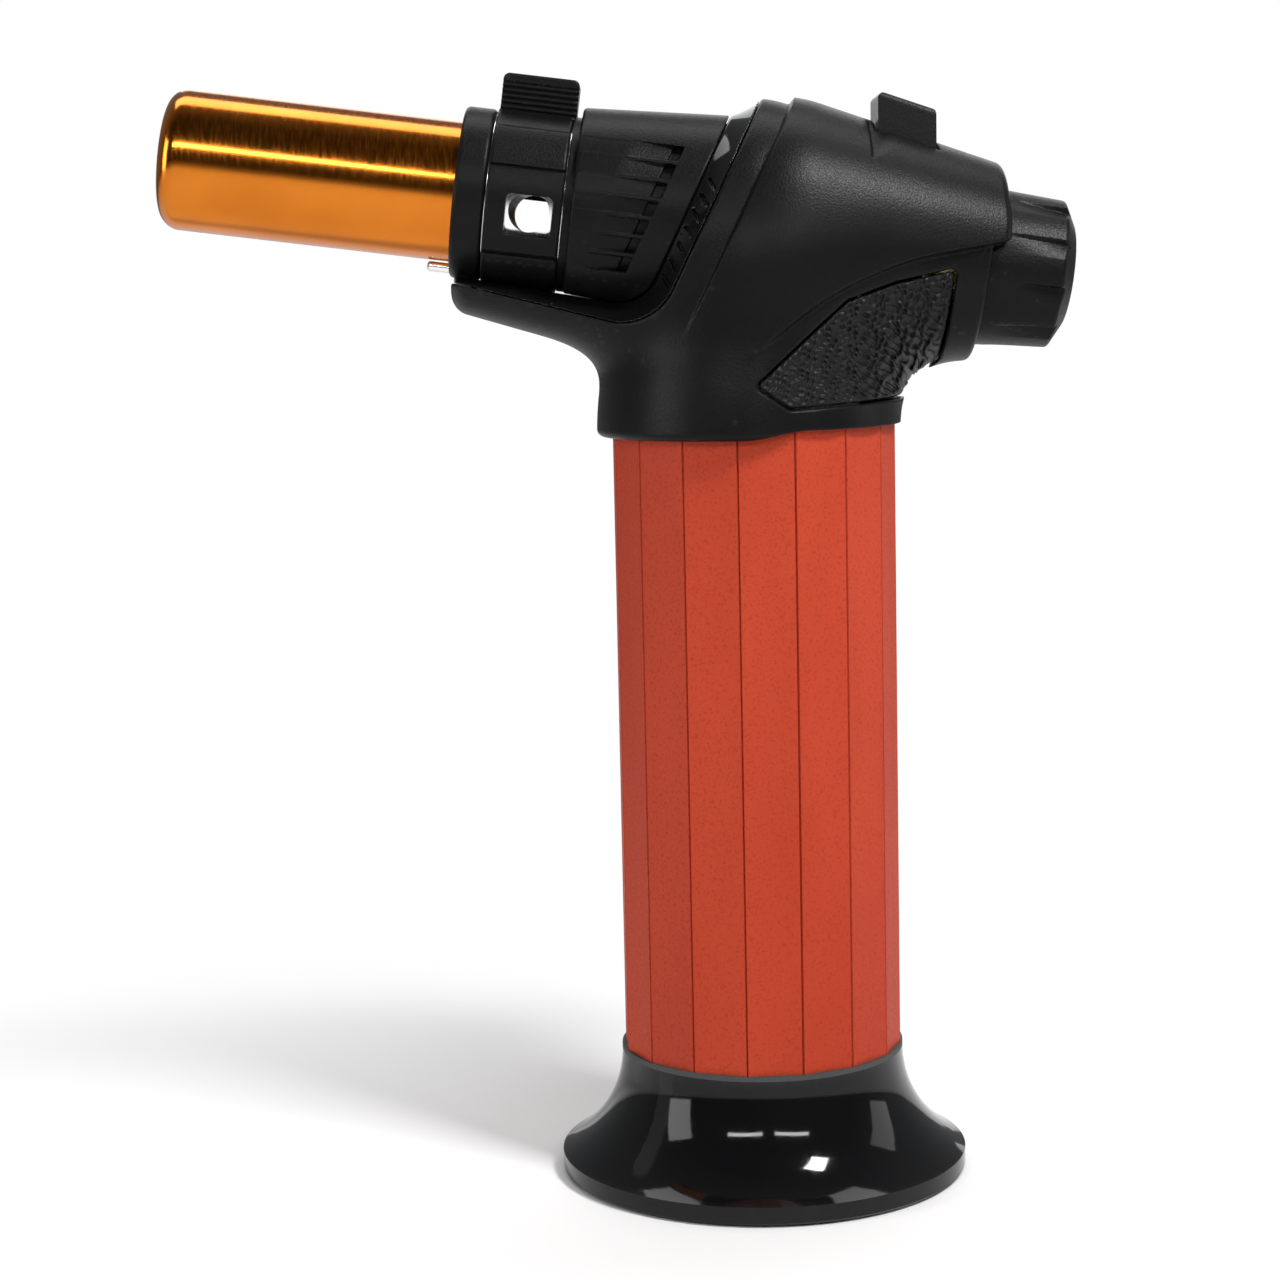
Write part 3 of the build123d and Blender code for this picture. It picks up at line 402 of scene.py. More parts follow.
# The button's straight part above its flange
BUTTON_POINTS = corners("ignition_button")
BUTTON_TOP_POINTS = BUTTON_POINTS[BUTTON_POINTS[:, 2] > BUTTON_HIGH[2] - 6]
BUTTON_TOP_FRONT = BUTTON_TOP_POINTS[:, 0].min()
BUTTON_TOP_REAR = BUTTON_TOP_POINTS[:, 0].max()


def screw_places():
    """(x, z) of each shell screw's centre, from the CAD screws' own vertices."""
    places = corners("shell_screws")
    heads = places[places[:, 1] > places[:, 1].max() - 0.05][:, (0, 2)]
    found = []
    for point in heads:
        if not any(np.hypot(*(point - other)) < 6 for other in found):
            found.append(point)
    return [heads[np.hypot(*(heads - point).T) < 6].mean(0) for point in found]


SCREW_PLACES = screw_places()
SCREW_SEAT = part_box("shell_screws")[1].y / MM - SCREW_HEAD_HEIGHT
SCREW_RECESS_RADIUS = 2.8


def shell_form(at, side):
    """One moulded half of the head; side is -1 or 1."""
    surface = head_surface(at)
    hollow = np.maximum(head_form(at) + HEAD_WALL, at.k - HOLLOW_REAR)
    hollow = np.maximum(hollow, -ring_pocket(at, RING_POCKET_WALL))
    for x, z in SCREW_PLACES:
        hollow = np.maximum(hollow, SCREW_BOSS_RADIUS - np.hypot(at.x - x, at.z - z))
    shell = np.maximum(surface, -hollow)
    shell = round_max(shell, SEAM - edge_distance(at, BEZEL_OUTER, BEZEL_OUTER_BEND), EDGE)
    shell = np.maximum(shell, -ring_pocket(at, 0))
    sleeve_bore = np.maximum(np.hypot(at.x, at.y) - SLEEVE_BORE_RADIUS, at.z - SLEEVE_BORE_TOP)
    shell = np.maximum(shell, -sleeve_bore)
    recess_radius = KNOB_START_RADIUS + KNOB_RECESS_GAP
    knob_recess = np.maximum(at.knob_r - recess_radius, KNOB_START - KNOB_RECESS_GAP - at.k)
    shell = round_max(shell, -knob_recess, EDGE)
    shell = np.where(at.k > SPINDLE_HOLE_START, np.maximum(shell, SPINDLE_HOLE_RADIUS - at.knob_r), shell)
    shell = round_max(shell, -button_opening(at), EDGE)
    shell = round_max(shell, -button_relief(at), EDGE)
    grip = outline_distance(at.x, at.z, GRIP_OUTLINE) - GRIP_ROUNDING
    shell = round_max(shell, -np.maximum(grip, -(surface + GRIP_POCKET)), EDGE)
    if side > 0:
        for x, z in SCREW_PLACES:
            recess = np.maximum(np.hypot(at.x - x, at.z - z) - SCREW_RECESS_RADIUS, SCREW_SEAT - at.y)
            shell = round_max(shell, -recess, EDGE)
    return round_max(shell, SEAM - side * at.y, 0.2)


def grain(at):
    """Leather-like pebbles: rounded cells between irregular furrows."""
    wander = np.sin(at.x * 1.9 + 1.3 * np.sin(at.z * 1.1)) + np.sin(at.z * 2.3 + 1.7 * np.sin(at.x * 0.9))
    rows = np.sin(at.x * 3.9 + at.z * 1.7 + 0.9 * wander)
    columns = np.sin(at.z * 4.3 - at.x * 1.5 + 1.1 * np.sin(at.x * 1.3) + 1.5 * at.y)
    return np.clip(rows * columns + 0.25 * wander, -1, 1)


def grip_form(at, side):
    """The textured grip insert on one side, a thin skin let into the head."""
    surface = head_surface(at)
    grip = outline_distance(at.x, at.z, GRIP_OUTLINE) - GRIP_ROUNDING + GRIP_GROOVE
    swell = GRAIN_HEIGHT * grain(at) * ease(-grip / 0.8)
    skin = np.maximum(surface + 0.15 + GRAIN_HEIGHT - swell, -(surface + GRIP_POCKET - 0.05))
    return round_max(round_max(skin, grip, 0.4), SEAM - side * at.y, 0.2)


def barrel_form(at):
    radius = SHROUD_FRONT_RADIUS + SHROUD_TAPER * (SHROUD_FRONT - at.s)
    return (at.r - radius) / sqrt(1 + SHROUD_TAPER**2)


def louvre_form(at):
    """Seven wedge pockets on each side that sink to the rear and end in a dark well."""
    barrel = barrel_form(at)
    behind = at.s - LOUVRE_TOP_START - LOUVRE_LEAN * (LOUVRE_TOP + 1.0 - at.u)
    depth = LOUVRE_DEPTH * (1 - behind / LOUVRE_LENGTH)
    depth = depth + LOUVRE_WELL_DEPTH * (1 - ease((behind - LOUVRE_WELL) / 0.3))
    floor = -(barrel + np.maximum(depth, 0))
    number = np.clip(np.round((LOUVRE_TOP - at.u) / LOUVRE_PITCH), 0, LOUVRE_COUNT - 1)
    slot = np.abs(at.u - LOUVRE_TOP + number * LOUVRE_PITCH) - LOUVRE_HALF_WIDTH
    pocket = round_max(round_max(slot, -behind, 0.3), floor, 0.15)
    return np.maximum(pocket, SHROUD_SPIGOT_RADIUS - at.r)


def shroud_form(at):
    shroud = round_max(barrel_form(at), at.s - SHROUD_FRONT, 0.5)
    shroud = round_max(shroud, edge_distance(at, BEZEL_INNER, BEZEL_INNER_BEND) + SEAM, 0.3)
    shroud = round_max(shroud, -louvre_form(at), 0.12)
    inner = edge_distance(at, BEZEL_INNER, BEZEL_INNER_BEND)
    tongue = np.maximum(barrel_form(at) + SHROUD_TONGUE, inner - TONGUE_REACH)
    spigot = np.maximum(at.r - SHROUD_SPIGOT_RADIUS, at.s - SPIGOT_END)
    shroud = np.minimum(shroud, np.maximum(tongue, at.s - SHROUD_FRONT + 1))
    shroud = np.minimum(shroud, np.maximum(spigot, SHROUD_FRONT - 2 - at.s))
    shroud = np.maximum(shroud, SHROUD_BORE - at.r)
    return np.maximum(shroud, SHROUD_REAR - at.s)


def bezel_ticks(at):
    """A row of short slanting slots along the bezel."""
    top, bottom = np.array(TICK_TOP), np.array(TICK_BOTTOM)
    ticks = np.full(at.x.shape, np.inf)
    for number in range(TICK_COUNT):
        x, z = top + (bottom - top) * number / (TICK_COUNT - 1)
        dx, dz = at.x - x, at.z - z
        along = np.clip(dx * 0.42 - dz * 0.91, -0.8, 0.8)
        ticks = np.minimum(ticks, np.hypot(dx - 0.42 * along, dz + 0.91 * along) - 0.22)
    return ticks


def bezel_form(at):
    """The sloping frame between the shroud and the head's outer surface."""
    outer = edge_distance(at, BEZEL_OUTER, BEZEL_OUTER_BEND)
    inner = edge_distance(at, BEZEL_INNER, BEZEL_INNER_BEND)
    share = np.clip(inner / np.maximum(inner - outer, 0.1), 0, 1)
    face = (1 - share) * (barrel_form(at) - 0.1) + share * (head_surface(at) + 0.15)
    face = np.maximum(face, -np.maximum(bezel_ticks(at), -(face + 0.5)))
    frame_ring = round_max(face, outer + SEAM, 0.25)
    frame_ring = round_max(frame_ring, SEAM - inner, 0.25)
    frame_ring = np.maximum(frame_ring, -(face + BEZEL_WALL))
    frame_ring = np.maximum(frame_ring, -ring_pocket(at, 0))
    tongue_room = np.maximum(barrel_form(at) + SHROUD_TONGUE - SEAM, inner - TONGUE_REACH - SEAM)
    return np.maximum(np.maximum(frame_ring, -tongue_room), SHROUD_BORE - at.r)


def ring_form(at):
    """Air ring: three segments, a window on each side and a ribbed lever on top."""
    height, half_width = at.u, np.abs(at.y)
    body_radius = -RING_LOW
    raised = ease((RING_STEP_HEIGHT - height) / 0.3)
    side = at.r - body_radius + RING_STEP_DEPTH * (1 - raised)
    for groove in RING_GROOVE_HEIGHTS:
        cut = 1 - np.clip(np.abs(height - groove) / RING_GROOVE_HALF_WIDTH, 0, 1)
        side = side + RING_GROOVE_DEPTH * cut
    body = round_max(side, np.abs(at.s - (RING_START + RING_END) / 2) - (RING_END - RING_START) / 2, 0.45)
    ribs = np.abs((RING_TOP - 1.6 - height) / LEVER_RIB_PITCH % 1 - 0.5) * 2
    in_ribs = (height < RING_TOP - 1.2) & (height > RING_TOP - 1.6 - LEVER_RIB_PITCH * LEVER_RIB_COUNT)
    inset = np.where(in_ribs, LEVER_RIB_DEPTH * (1 - ease(ribs * 1.6)), 0)
    lever_side = np.maximum(half_width - LEVER_HALF_WIDTH + inset, body_radius - 2.5 - height)
    lever_length = np.abs(at.s - (LEVER_START_STATION + RING_END) / 2) - LEVER_HALF_LENGTH
    lever = round_max(height - RING_TOP, lever_length, 0.9)
    lever = round_max(lever, lever_side, 0.3)
    ring = smooth_min(body, lever, 0.3)
    window = round_max(
        np.abs(at.s - WINDOW_STATION) - WINDOW_HALF_LENGTH,
        np.abs(height + WINDOW_DROP) - WINDOW_HALF_HEIGHT,
        0.8,
    )
    ring = round_max(ring, -window, 0.25)
    return np.maximum(ring, SHROUD_BORE - at.r)


RING_POINTS = corners("air_ring") - NOZZLE_ORIGIN
RING_TIP = RING_POINTS[RING_POINTS @ UP_WAY > RING_TOP - 1.5] @ NOZZLE_WAY
LEVER_START_STATION = RING_TIP.min()
LEVER_HALF_LENGTH = (RING_TIP.max() - RING_TIP.min()) / 2
WINDOW_STATION = 30.5


def knob_form(at):
    """Tapered knob with a blunt nose and ten notches that deepen towards its end."""
    taper = (KNOB_START_RADIUS - KNOB_END_RADIUS) / (KNOB_SIDE_END - KNOB_START)
    radius = KNOB_START_RADIUS - taper * (at.k - KNOB_START)
    turn = np.degrees(np.arctan2(at.h, -at.y)) - KNOB_NOTCH_ANGLE
    panel = 360 / KNOB_NOTCH_COUNT
    offset = np.radians((turn + panel / 2) % panel - panel / 2) * radius
    slope = np.where(offset > 0, offset / KNOB_NOTCH_STEEP, -offset / KNOB_NOTCH_GENTLE)
    reach = np.clip((at.k - KNOB_NOTCH_START) / (KNOB_END - KNOB_NOTCH_START), 0, 1)
    side = at.knob_r - radius + KNOB_NOTCH_DEPTH * reach * np.clip(1 - slope, 0, 1)
    nose_length = KNOB_END - KNOB_SIDE_END
    nose_drop = KNOB_END_RADIUS - KNOB_NOSE_RADIUS
    nose = (at.knob_r - KNOB_END_RADIUS) * nose_length + (at.k - KNOB_SIDE_END) * nose_drop
    nose /= sqrt(nose_length**2 + nose_drop**2)
    knob = round_max(side, nose, 0.3)
    knob = round_max(knob, at.k - KNOB_END, 0.3)
    knob = round_max(knob, KNOB_START + 0.05 - at.k, 0.3)
    screw_well = np.maximum(at.knob_r - 2.5, KNOB_END - 2.0 - at.k)
    inside = np.maximum(at.knob_r - 8, at.k - 40)
    return np.maximum(round_max(knob, -screw_well, 0.3), -inside)


# Meshing a signed distance field

def field_values(form, points):
    """The form's value at many points, worked out in slices to save memory."""
    slices = np.array_split(points, max(1, len(points) // 400_000))
    return np.concatenate([form(Place(part)) for part in slices])


def field_slope(form, points, reach=0.04):
    """Gradient of the form by central differences."""
    slope = np.empty_like(points)
    for axis in range(3):
        offset = np.zeros(3)
        offset[axis] = reach
        slope[:, axis] = field_values(form, points + offset) - field_values(form, points - offset)
    return slope / (2 * reach)


def crossing_edges(value, axis):
    """Grid edges along an axis whose ends lie on different sides of the surface."""
    lower = [slice(None)] * 3
    upper = [slice(None)] * 3
    lower[axis] = slice(0, -1)
    upper[axis] = slice(1, None)
    starts, ends = value[tuple(lower)], value[tuple(upper)]
    edges = np.argwhere((starts < 0) != (ends < 0))
    at = tuple(edges.T)
    return edges, starts[at], ends[at]


def surface_net(form, low, high, step):
    """Vertices, quads and normals of a form's surface inside a box that encloses it, in mm."""
    low, high = np.array(low, float), np.array(high, float)
    counts = np.ceil((high - low) / step).astype(int) + 1
    axes = [low[i] + step * np.arange(counts[i]) for i in range(3)]
    grid = np.stack(np.meshgrid(*axes, indexing="ij"), -1).reshape(-1, 3)
    value = field_values(form, grid).reshape(counts)
    unit = np.eye(3, dtype=int)
    cells, places = [], []
    for axis in range(3):
        edges, starts, ends = crossing_edges(value, axis)
        place = edges + unit[axis] * (starts / (starts - ends))[:, None]
        first, second = unit[(axis + 1) % 3], unit[(axis + 2) % 3]
        around = np.stack([edges, edges - first, edges - first - second, edges - second], 1)
        rising = starts < 0
        around[~rising] = around[~rising][:, ::-1]
        cells.append(around)
        places.append(np.repeat(place[:, None], 4, 1))
    cells, places = np.concatenate(cells), np.concatenate(places)
    keys = np.ravel_multi_index(tuple(np.moveaxis(cells, -1, 0)), counts)
    _, inverse = np.unique(keys.ravel(), return_inverse=True)
    shares = np.bincount(inverse)
    points = np.stack([np.bincount(inverse, places.reshape(-1, 3)[:, i]) for i in range(3)], 1)
    points = low + step * points / shares[:, None]
    for _ in range(3):
        slope = field_slope(form, points)
        size = np.maximum(np.linalg.norm(slope, axis=1), 0.3)[:, None]
        shift = slope / size * (field_values(form, points)[:, None] / size)
        points = points - np.clip(shift, -0.4 * step, 0.4 * step)
    normals = field_slope(form, points, 0.08)
    normals /= np.maximum(np.linalg.norm(normals, axis=1), 1e-6)[:, None]
    return points, inverse.reshape(-1, 4), normals


def field_piece(name, form, low, high, step, body, replaced, slot):
    """A piece meshed from a form, riding on a body and standing for CAD nodes."""
    points, quads, normals = surface_net(form, low, high, step)
    mesh = bpy.data.meshes.new(name)
    mesh.from_pydata((points * MM).tolist(), [], quads.tolist())
    mesh.shade_smooth()
    mesh.normals_split_custom_set_from_vertices(normals.tolist())
    piece = bpy.data.objects.new(name, mesh)
    bpy.context.scene.collection.objects.link(piece)
    mesh.materials.append(MATERIALS[slot])
    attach(piece, body)
    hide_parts(*replaced)
    return piece


# Materials

def new_material(name):
    material = bpy.data.materials.new(name)
    material.use_nodes = True
    tree = material.node_tree
    tree.nodes.clear()
    output = tree.nodes.new("ShaderNodeOutputMaterial")
    shader = tree.nodes.new("ShaderNodeBsdfPrincipled")
    tree.links.new(shader.outputs["BSDF"], output.inputs["Surface"])
    return material, tree, shader


def object_noise(tree, scale, detail=2.0, stretch=(1, 1, 1)):
    """Noise in object space; scale is in features per metre."""
    place = tree.nodes.new("ShaderNodeTexCoord")
    mapping = tree.nodes.new("ShaderNodeMapping")
    mapping.inputs["Scale"].default_value = stretch
    noise = tree.nodes.new("ShaderNodeTexNoise")
    noise.inputs["Scale"].default_value = scale
    noise.inputs["Detail"].default_value = detail
    tree.links.new(place.outputs["Object"], mapping.inputs["Vector"])
    tree.links.new(mapping.outputs["Vector"], noise.inputs["Vector"])
    return noise.outputs["Fac"]


def mapped(tree, value, low, high, start=0.3, end=0.7):
    """Value between start and end, remapped to low..high."""
    node = tree.nodes.new("ShaderNodeMapRange")
    node.inputs["From Min"].default_value = start
    node.inputs["From Max"].default_value = end
    node.inputs["To Min"].default_value = low
    node.inputs["To Max"].default_value = high
    tree.links.new(value, node.inputs["Value"])
    return node.outputs["Result"]


def mixed_colour(tree, share, first, second):
    node = tree.nodes.new("ShaderNodeMix")
    node.data_type = "RGBA"
    tree.links.new(share, node.inputs["Factor"])
    for socket, colour in (("A", first), ("B", second)):
        found = [i for i in node.inputs if i.name == socket and i.type == "RGBA"][0]
        if hasattr(colour, "is_linked"):
            tree.links.new(colour, found)
        else:
            found.default_value = (*colour, 1)
    return [o for o in node.outputs if o.type == "RGBA"][0]


def add_bump(tree, shader, height, strength, distance, below=None):
    bump = tree.nodes.new("ShaderNodeBump")
    bump.inputs["Strength"].default_value = strength
    bump.inputs["Distance"].default_value = distance
    tree.links.new(height, bump.inputs["Height"])
    if below is not None:
        tree.links.new(below, bump.inputs["Normal"])
    tree.links.new(bump.outputs["Normal"], shader.inputs["Normal"])
    return bump.outputs["Normal"]


def worn_share(tree, low=0.53, high=0.62):
    """1 on exposed edges, 0 elsewhere."""
    geometry = tree.nodes.new("ShaderNodeNewGeometry")
    return mapped(tree, geometry.outputs["Pointiness"], 0, 1, low, high)


def finish_material(name, colour, shade, worn, roughness, grain_scale, grain_depth, metallic=0.0,
                    stretch=(1, 1, 1), patch_scale=60.0, coat=0.0, specular=0.5, grain_strength=0.5):
    """A moulded, cast or drawn surface: patchy colour, fine grain, lighter worn edges."""
    material, tree, shader = new_material(name)
    patches = mapped(tree, object_noise(tree, patch_scale, 3), 0, 1)
    base = mixed_colour(tree, patches, colour, shade)
    edges = worn_share(tree)
    tree.links.new(mixed_colour(tree, edges, base, worn), shader.inputs["Base Color"])
    fine = object_noise(tree, grain_scale, 2, stretch)
    tree.links.new(mapped(tree, fine, *roughness), shader.inputs["Roughness"])
    add_bump(tree, shader, fine, grain_strength, grain_depth)
    shader.inputs["Metallic"].default_value = metallic
    shader.inputs["Specular IOR Level"].default_value = specular
    shader.inputs["Coat Weight"].default_value = coat
    shader.inputs["Coat Roughness"].default_value = 0.08
    return material


def sleeve_material():
    """Soft-touch red, a little mottled, with fine dark specks."""
    material, tree, shader = new_material("sleeve_red")
    mottle = mapped(tree, object_noise(tree, 45, 4, (1, 1, 0.35)), 0, 1)
    base = mixed_colour(tree, mottle, (0.42, 0.046, 0.017), (0.35, 0.034, 0.012))
    fine = object_noise(tree, 2600, 3)
    specked = mixed_colour(tree, mapped(tree, fine, 0, 0.55, 0.52, 0.68), base, (0.25, 0.022, 0.012))
    tree.links.new(specked, shader.inputs["Base Color"])
    tree.links.new(mapped(tree, fine, 0.5, 0.62), shader.inputs["Roughness"])
    add_bump(tree, shader, fine, 0.25, 0.00012)
    shader.inputs["Specular IOR Level"].default_value = 0.15
    return material


def copper_material():
    """Polished copper-gold tube with fine marks drawn round it."""
    material, tree, shader = new_material("copper_gold")
    drawn = object_noise(tree, 500, 3, (6, 1, 1))
    patches = mapped(tree, object_noise(tree, 90, 3), 0, 1)
    base = mixed_colour(tree, patches, (0.66, 0.200, 0.022), (0.58, 0.165, 0.017))
    tree.links.new(base, shader.inputs["Base Color"])
    tree.links.new(mapped(tree, drawn, 0.12, 0.20), shader.inputs["Roughness"])
    add_bump(tree, shader, drawn, 0.06, 0.00006)
    shader.inputs["Metallic"].default_value = 1.0
    return material


def felt_material():
    material, tree, shader = new_material("felt")
    fibres = object_noise(tree, 1500, 6, (1, 1, 0.2))
    colour = mixed_colour(tree, fibres, (0.62, 0.60, 0.54), (0.86, 0.84, 0.78))
    tree.links.new(colour, shader.inputs["Base Color"])
    add_bump(tree, shader, fibres, 0.8, 0.0003)
    shader.inputs["Roughness"].default_value = 0.95
    shader.inputs["Sheen Weight"].default_value = 0.3
    return material


BLACK_WORN = (0.012, 0.012, 0.0125)
MATERIALS = {
    "gloss_black": finish_material(
        "gloss_black", (0.0030, 0.0030, 0.0034), (0.0042, 0.0042, 0.0046), BLACK_WORN,
        (0.05, 0.09), 900, 0.00002, specular=0.22, grain_strength=0.05),
    "matte_black": finish_material(
        "matte_black", (0.0040, 0.0041, 0.0045), (0.0056, 0.0056, 0.0060), BLACK_WORN,
        (0.30, 0.42), 3600, 0.00007, specular=0.1, grain_strength=0.6),
    "grip_black": finish_material(
        "grip_black", (0.0036, 0.0036, 0.0038), (0.0052, 0.0052, 0.0056), (0.009, 0.009, 0.0095),
        (0.34, 0.48), 1700, 0.0002, specular=0.18, grain_strength=0.5),
    "sleeve_red": sleeve_material(),
    "seal_rubber": finish_material(
        "seal_rubber", (0.014, 0.014, 0.014), (0.022, 0.022, 0.022), (0.04, 0.04, 0.04),
        (0.6, 0.75), 1800, 0.00008),
    "copper_gold": copper_material(),
    "bright_steel": finish_material(
        "bright_steel", (0.74, 0.73, 0.71), (0.62, 0.61, 0.60), (0.86, 0.86, 0.86),
        (0.16, 0.26), 1500, 0.00003, metallic=1.0, grain_strength=0.2),
    "tube_steel": finish_material(
        "tube_steel", (0.50, 0.48, 0.45), (0.40, 0.36, 0.32), (0.6, 0.6, 0.6),
        (0.28, 0.42), 1200, 0.00005, metallic=1.0, grain_strength=0.3),
    "brass": finish_material(
        "brass", (0.72, 0.50, 0.19), (0.60, 0.40, 0.14), (0.85, 0.66, 0.3),
        (0.2, 0.34), 1400, 0.00004, metallic=1.0, grain_strength=0.25),
    "copper_pipe": finish_material(
        "copper_pipe", (0.70, 0.33, 0.19), (0.52, 0.22, 0.12), (0.82, 0.45, 0.28),
        (0.24, 0.4), 1100, 0.00004, metallic=1.0, grain_strength=0.25),
    "zinc": finish_material(
        "zinc", (0.50, 0.50, 0.51), (0.40, 0.40, 0.42), (0.65, 0.65, 0.65),
        (0.38, 0.52), 1300, 0.0001, metallic=1.0),
    "tank_plastic": finish_material(
        "tank_plastic", (0.56, 0.56, 0.52), (0.49, 0.49, 0.45), (0.65, 0.65, 0.62),
        (0.4, 0.5), 900, 0.00008),
    "piezo_plastic": finish_material(
        "piezo_plastic", (0.025, 0.025, 0.03), (0.04, 0.04, 0.045), (0.07, 0.07, 0.07),
        (0.22, 0.34), 1100, 0.00005),
    "felt": felt_material(),
    "white_ceramic": finish_material(
        "white_ceramic", (0.84, 0.83, 0.78), (0.76, 0.74, 0.69), (0.9, 0.89, 0.86),
        (0.12, 0.2), 700, 0.00004, coat=0.5),
    "wire_cover": finish_material(
        "wire_cover", (0.45, 0.028, 0.025), (0.36, 0.02, 0.02), (0.55, 0.08, 0.07),
        (0.36, 0.5), 1200, 0.00005),
}


def dress_frame():
    """Every carried-over CAD node takes the finish that its own material slot names."""
    for node in frame["nodes"].values():
        for holder in node.material_slots:
            holder.material = MATERIALS[holder.material.name.split(".")[0]]


# Pieces

def head_pieces():
    rear_low = (-46, -24, 105)
    for side, name in ((-1, "left"), (1, "right")):
        low = (rear_low[0], min(-24 * -side, 0) - 1, rear_low[2])
        high = (37, low[1] + 26, 155)
        field_piece(f"head_shell_{name}_skin", lambda at, side=side: shell_form(at, side),
                    low, high, STEP, "torch", [f"head_shell_{name}"], "matte_black")
        field_piece(f"grip_{name}_skin", lambda at, side=side: grip_form(at, side),
                    (-3, low[1], 107), (30, high[1], 131), FINE_STEP, "torch",
                    [f"grip_insert_{name}"], "grip_black")
    field_piece("barrel_shroud_skin", shroud_form, (-28, -17, 119), (6, 17, 154), FINE_STEP, "torch",
                ["barrel_shroud"], "matte_black")
    field_piece("head_bezel_skin", bezel_form, (-46, -24, 115), (8, 24, 156), FINE_STEP * 1.2, "torch",
                ["head_bezel"], "gloss_black")


def moving_pieces():
    low, high = (np.array(corner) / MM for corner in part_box("air_ring"))
    field_piece("air_ring_skin", ring_form, low - 1, high + 1, FINE_STEP, "air_control",
                ["air_ring"], "matte_black")
    low, high = (np.array(corner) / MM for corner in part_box("control_knob"))
    field_piece("control_knob_skin", knob_form, low - 1, high + 1, FINE_STEP, "flame_control",
                ["control_knob"], "matte_black")


# Camera, floor and light

CAMERA_PLACE = (-0.01655, -0.3889, 0.12714)
CAMERA_PITCH = 7.357
CAMERA_ROLL = 1.2
CAMERA_LENS = 77.3
ROOM_FRONT = 0.03
ROOM_BACK = 0.22
FLOOR_REACH = 3.0
FLOOR_GAP = 0.0002
FLOOR_FADE_START = 0.045
FLOOR_FADE_END = 0.17


def make_camera():
    data = bpy.data.cameras.new("camera")
    data.lens = CAMERA_LENS
    data.sensor_width = 36
    data.clip_start, data.clip_end = 0.01, 20
    camera = bpy.data.objects.new("camera", data)
    bpy.context.scene.collection.objects.link(camera)
    pitch, roll = radians(CAMERA_PITCH), radians(CAMERA_ROLL)
    forward = Vector((0, cos(pitch), -sin(pitch)))
    level_up = Vector((0, sin(pitch), cos(pitch)))
    level_right = Vector((1, 0, 0))
    right = cos(roll) * level_right - sin(roll) * level_up
    up = sin(roll) * level_right + cos(roll) * level_up
    turn = Matrix((right, up, -forward)).transposed().to_4x4()
    camera.matrix_world = Matrix.Translation(CAMERA_PLACE) @ turn
    bpy.context.scene.camera = camera


def area_light(name, place, target, size, power):
    data = bpy.data.lights.new(name, "AREA")
    data.shape = "RECTANGLE"
    data.size, data.size_y = size
    data.energy = power
    light = bpy.data.objects.new(name, data)
    light.location = place
    light.rotation_mode = "QUATERNION"
    light.rotation_quaternion = (Vector(target) - Vector(place)).to_track_quat("-Z", "Y")
    bpy.context.scene.collection.objects.link(light)


def make_floor():
    """Pale floor that fades into the white background away from the object."""
    mesh = bpy.data.meshes.new("floor")
    corner_signs = ((-1, -1), (1, -1), (1, 1), (-1, 1))
    places = [(FLOOR_REACH * x, FLOOR_REACH * y, 0) for x, y in corner_signs]
    mesh.from_pydata(places, [], [(0, 1, 2, 3)])
    floor = bpy.data.objects.new("floor", mesh)
    floor.location.z = -FLOOR_GAP
    bpy.context.scene.collection.objects.link(floor)
    material, tree, shader = new_material("floor_paper")
    shader.inputs["Base Color"].default_value = (0.72, 0.72, 0.72, 1)
    shader.inputs["Roughness"].default_value = 0.9
    shader.inputs["Specular IOR Level"].default_value = 0.1
    place = tree.nodes.new("ShaderNodeTexCoord")
    distance = tree.nodes.new("ShaderNodeVectorMath")
    distance.operation = "LENGTH"
    tree.links.new(place.outputs["Object"], distance.inputs[0])
    far = mapped(tree, distance.outputs["Value"], 0, 1, FLOOR_FADE_START, FLOOR_FADE_END)
    path = tree.nodes.new("ShaderNodeLightPath")
    seen = tree.nodes.new("ShaderNodeMath")
    seen.operation = "MULTIPLY"
    tree.links.new(far, seen.inputs[0])
    tree.links.new(path.outputs["Is Camera Ray"], seen.inputs[1])
    glow = tree.nodes.new("ShaderNodeEmission")
    mix = tree.nodes.new("ShaderNodeMixShader")
    output = tree.nodes["Material Output"]
    tree.links.new(seen.outputs["Value"], mix.inputs["Fac"])
    tree.links.new(shader.outputs["BSDF"], mix.inputs[1])
    tree.links.new(glow.outputs["Emission"], mix.inputs[2])
    tree.links.new(mix.outputs["Shader"], output.inputs["Surface"])
    mesh.materials.append(material)


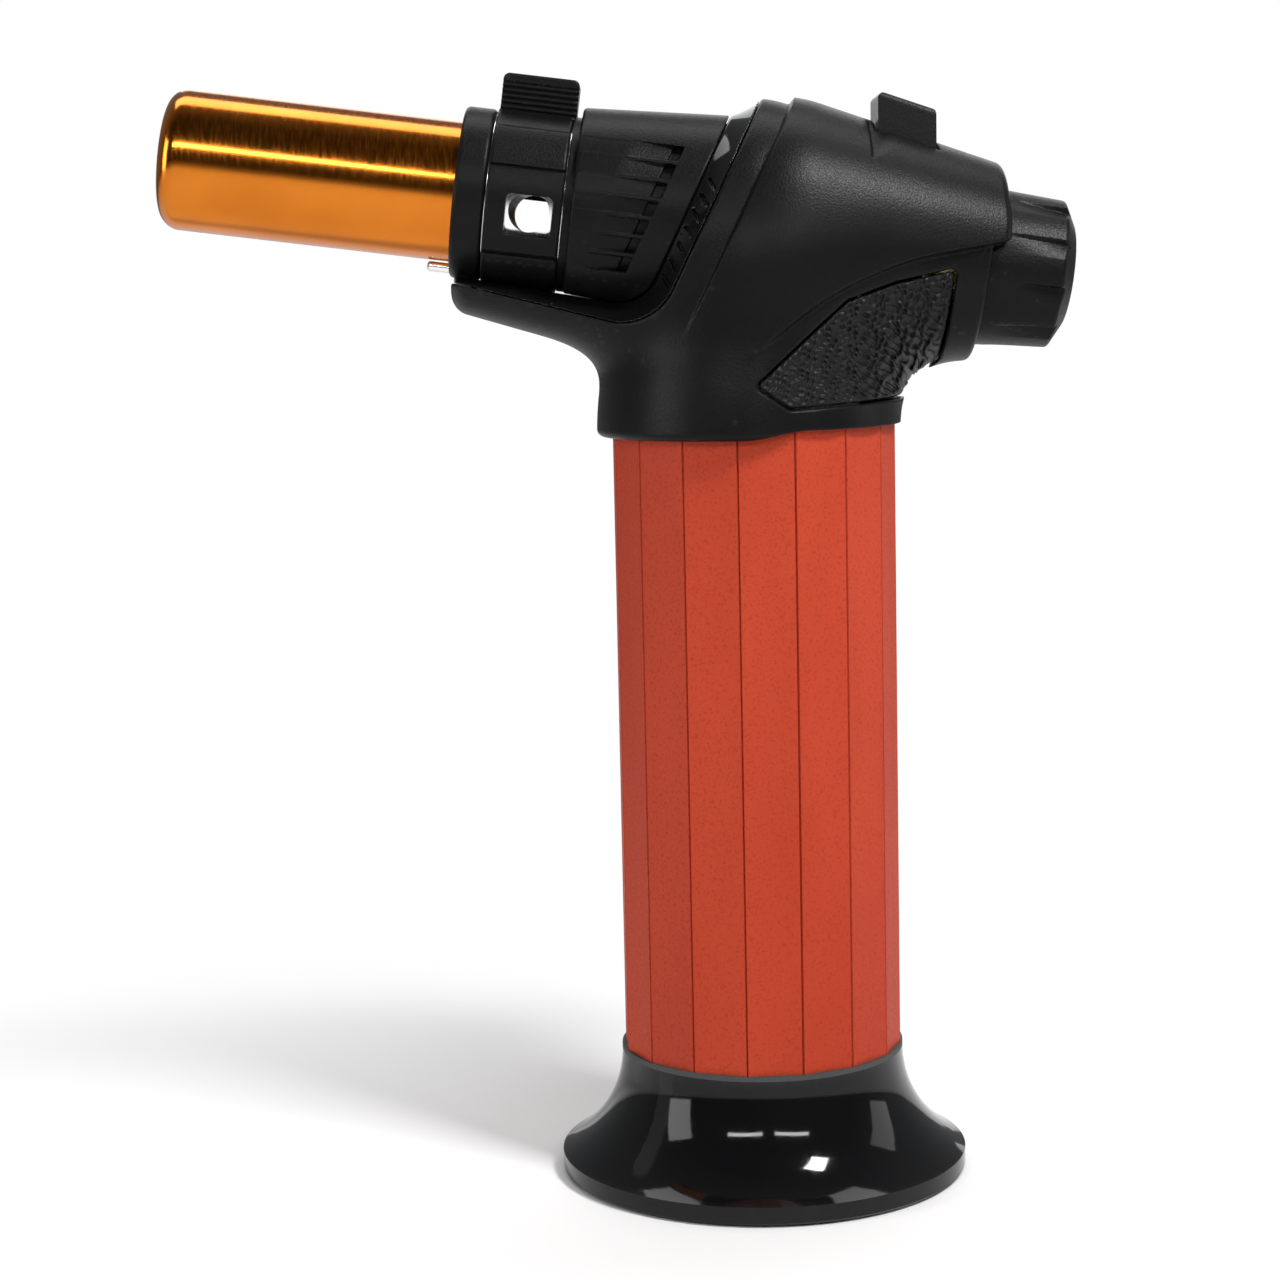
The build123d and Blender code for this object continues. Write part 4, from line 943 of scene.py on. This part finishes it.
def make_world():
    """White behind the object; what it lights is a dim room in front and a pale wall behind."""
    world = bpy.data.worlds.new("studio")
    world.use_nodes = True
    tree = world.node_tree
    tree.nodes.clear()
    output = tree.nodes.new("ShaderNodeOutputWorld")
    seen = tree.nodes.new("ShaderNodeBackground")
    lit = tree.nodes.new("ShaderNodeBackground")
    place = tree.nodes.new("ShaderNodeTexCoord")
    parts = tree.nodes.new("ShaderNodeSeparateXYZ")
    tree.links.new(place.outputs["Generated"], parts.inputs["Vector"])
    strength = mapped(tree, parts.outputs["Y"], ROOM_FRONT, ROOM_BACK, -0.35, 0.3)
    tree.links.new(strength, lit.inputs["Strength"])
    lit.inputs["Color"].default_value = (0.95, 0.98, 1, 1)
    path = tree.nodes.new("ShaderNodeLightPath")
    mix = tree.nodes.new("ShaderNodeMixShader")
    tree.links.new(path.outputs["Is Camera Ray"], mix.inputs["Fac"])
    tree.links.new(lit.outputs["Background"], mix.inputs[1])
    tree.links.new(seen.outputs["Background"], mix.inputs[2])
    seen.inputs["Color"].default_value = (1, 1, 1, 1)
    tree.links.new(mix.outputs["Shader"], output.inputs["Surface"])
    bpy.context.scene.world = world


def make_studio():
    centre = (cad_box[0] + cad_box[1]) / 2
    head = Vector((0, 0, cad_box[1].z))
    make_world()
    make_floor()
    area_light("overhead", head + Vector((0, 0.22, 0.60)), head, (0.8, 0.26), 2.4)
    area_light("front_left_strip", head + Vector((-0.22, -0.72, 0.30)), head, (0.36, 0.045), 1.4)
    area_light("front_right_strip", head + Vector((0.26, -0.72, 0.30)), head, (0.36, 0.045), 1.4)
    area_light("shoulder", head + Vector((0.38, -0.36, 0.60)), head, (0.16, 0.18), 8.0)
    area_light("left", centre + Vector((-0.8, -0.30, 0.2)), centre, (0.3, 0.5), 2.8)
    area_light("right", centre + Vector((0.9, 0.1, 0.25)), centre, (0.3, 0.5), 1.0)
    area_light("back", centre + Vector((0.1, 0.9, 0.35)), centre, (0.8, 0.5), 2.0)
    view = bpy.context.scene.view_settings
    view.view_transform = "Standard"
    view.look = "None"


make_camera()
make_studio()
dress_frame()
head_pieces()
moving_pieces()
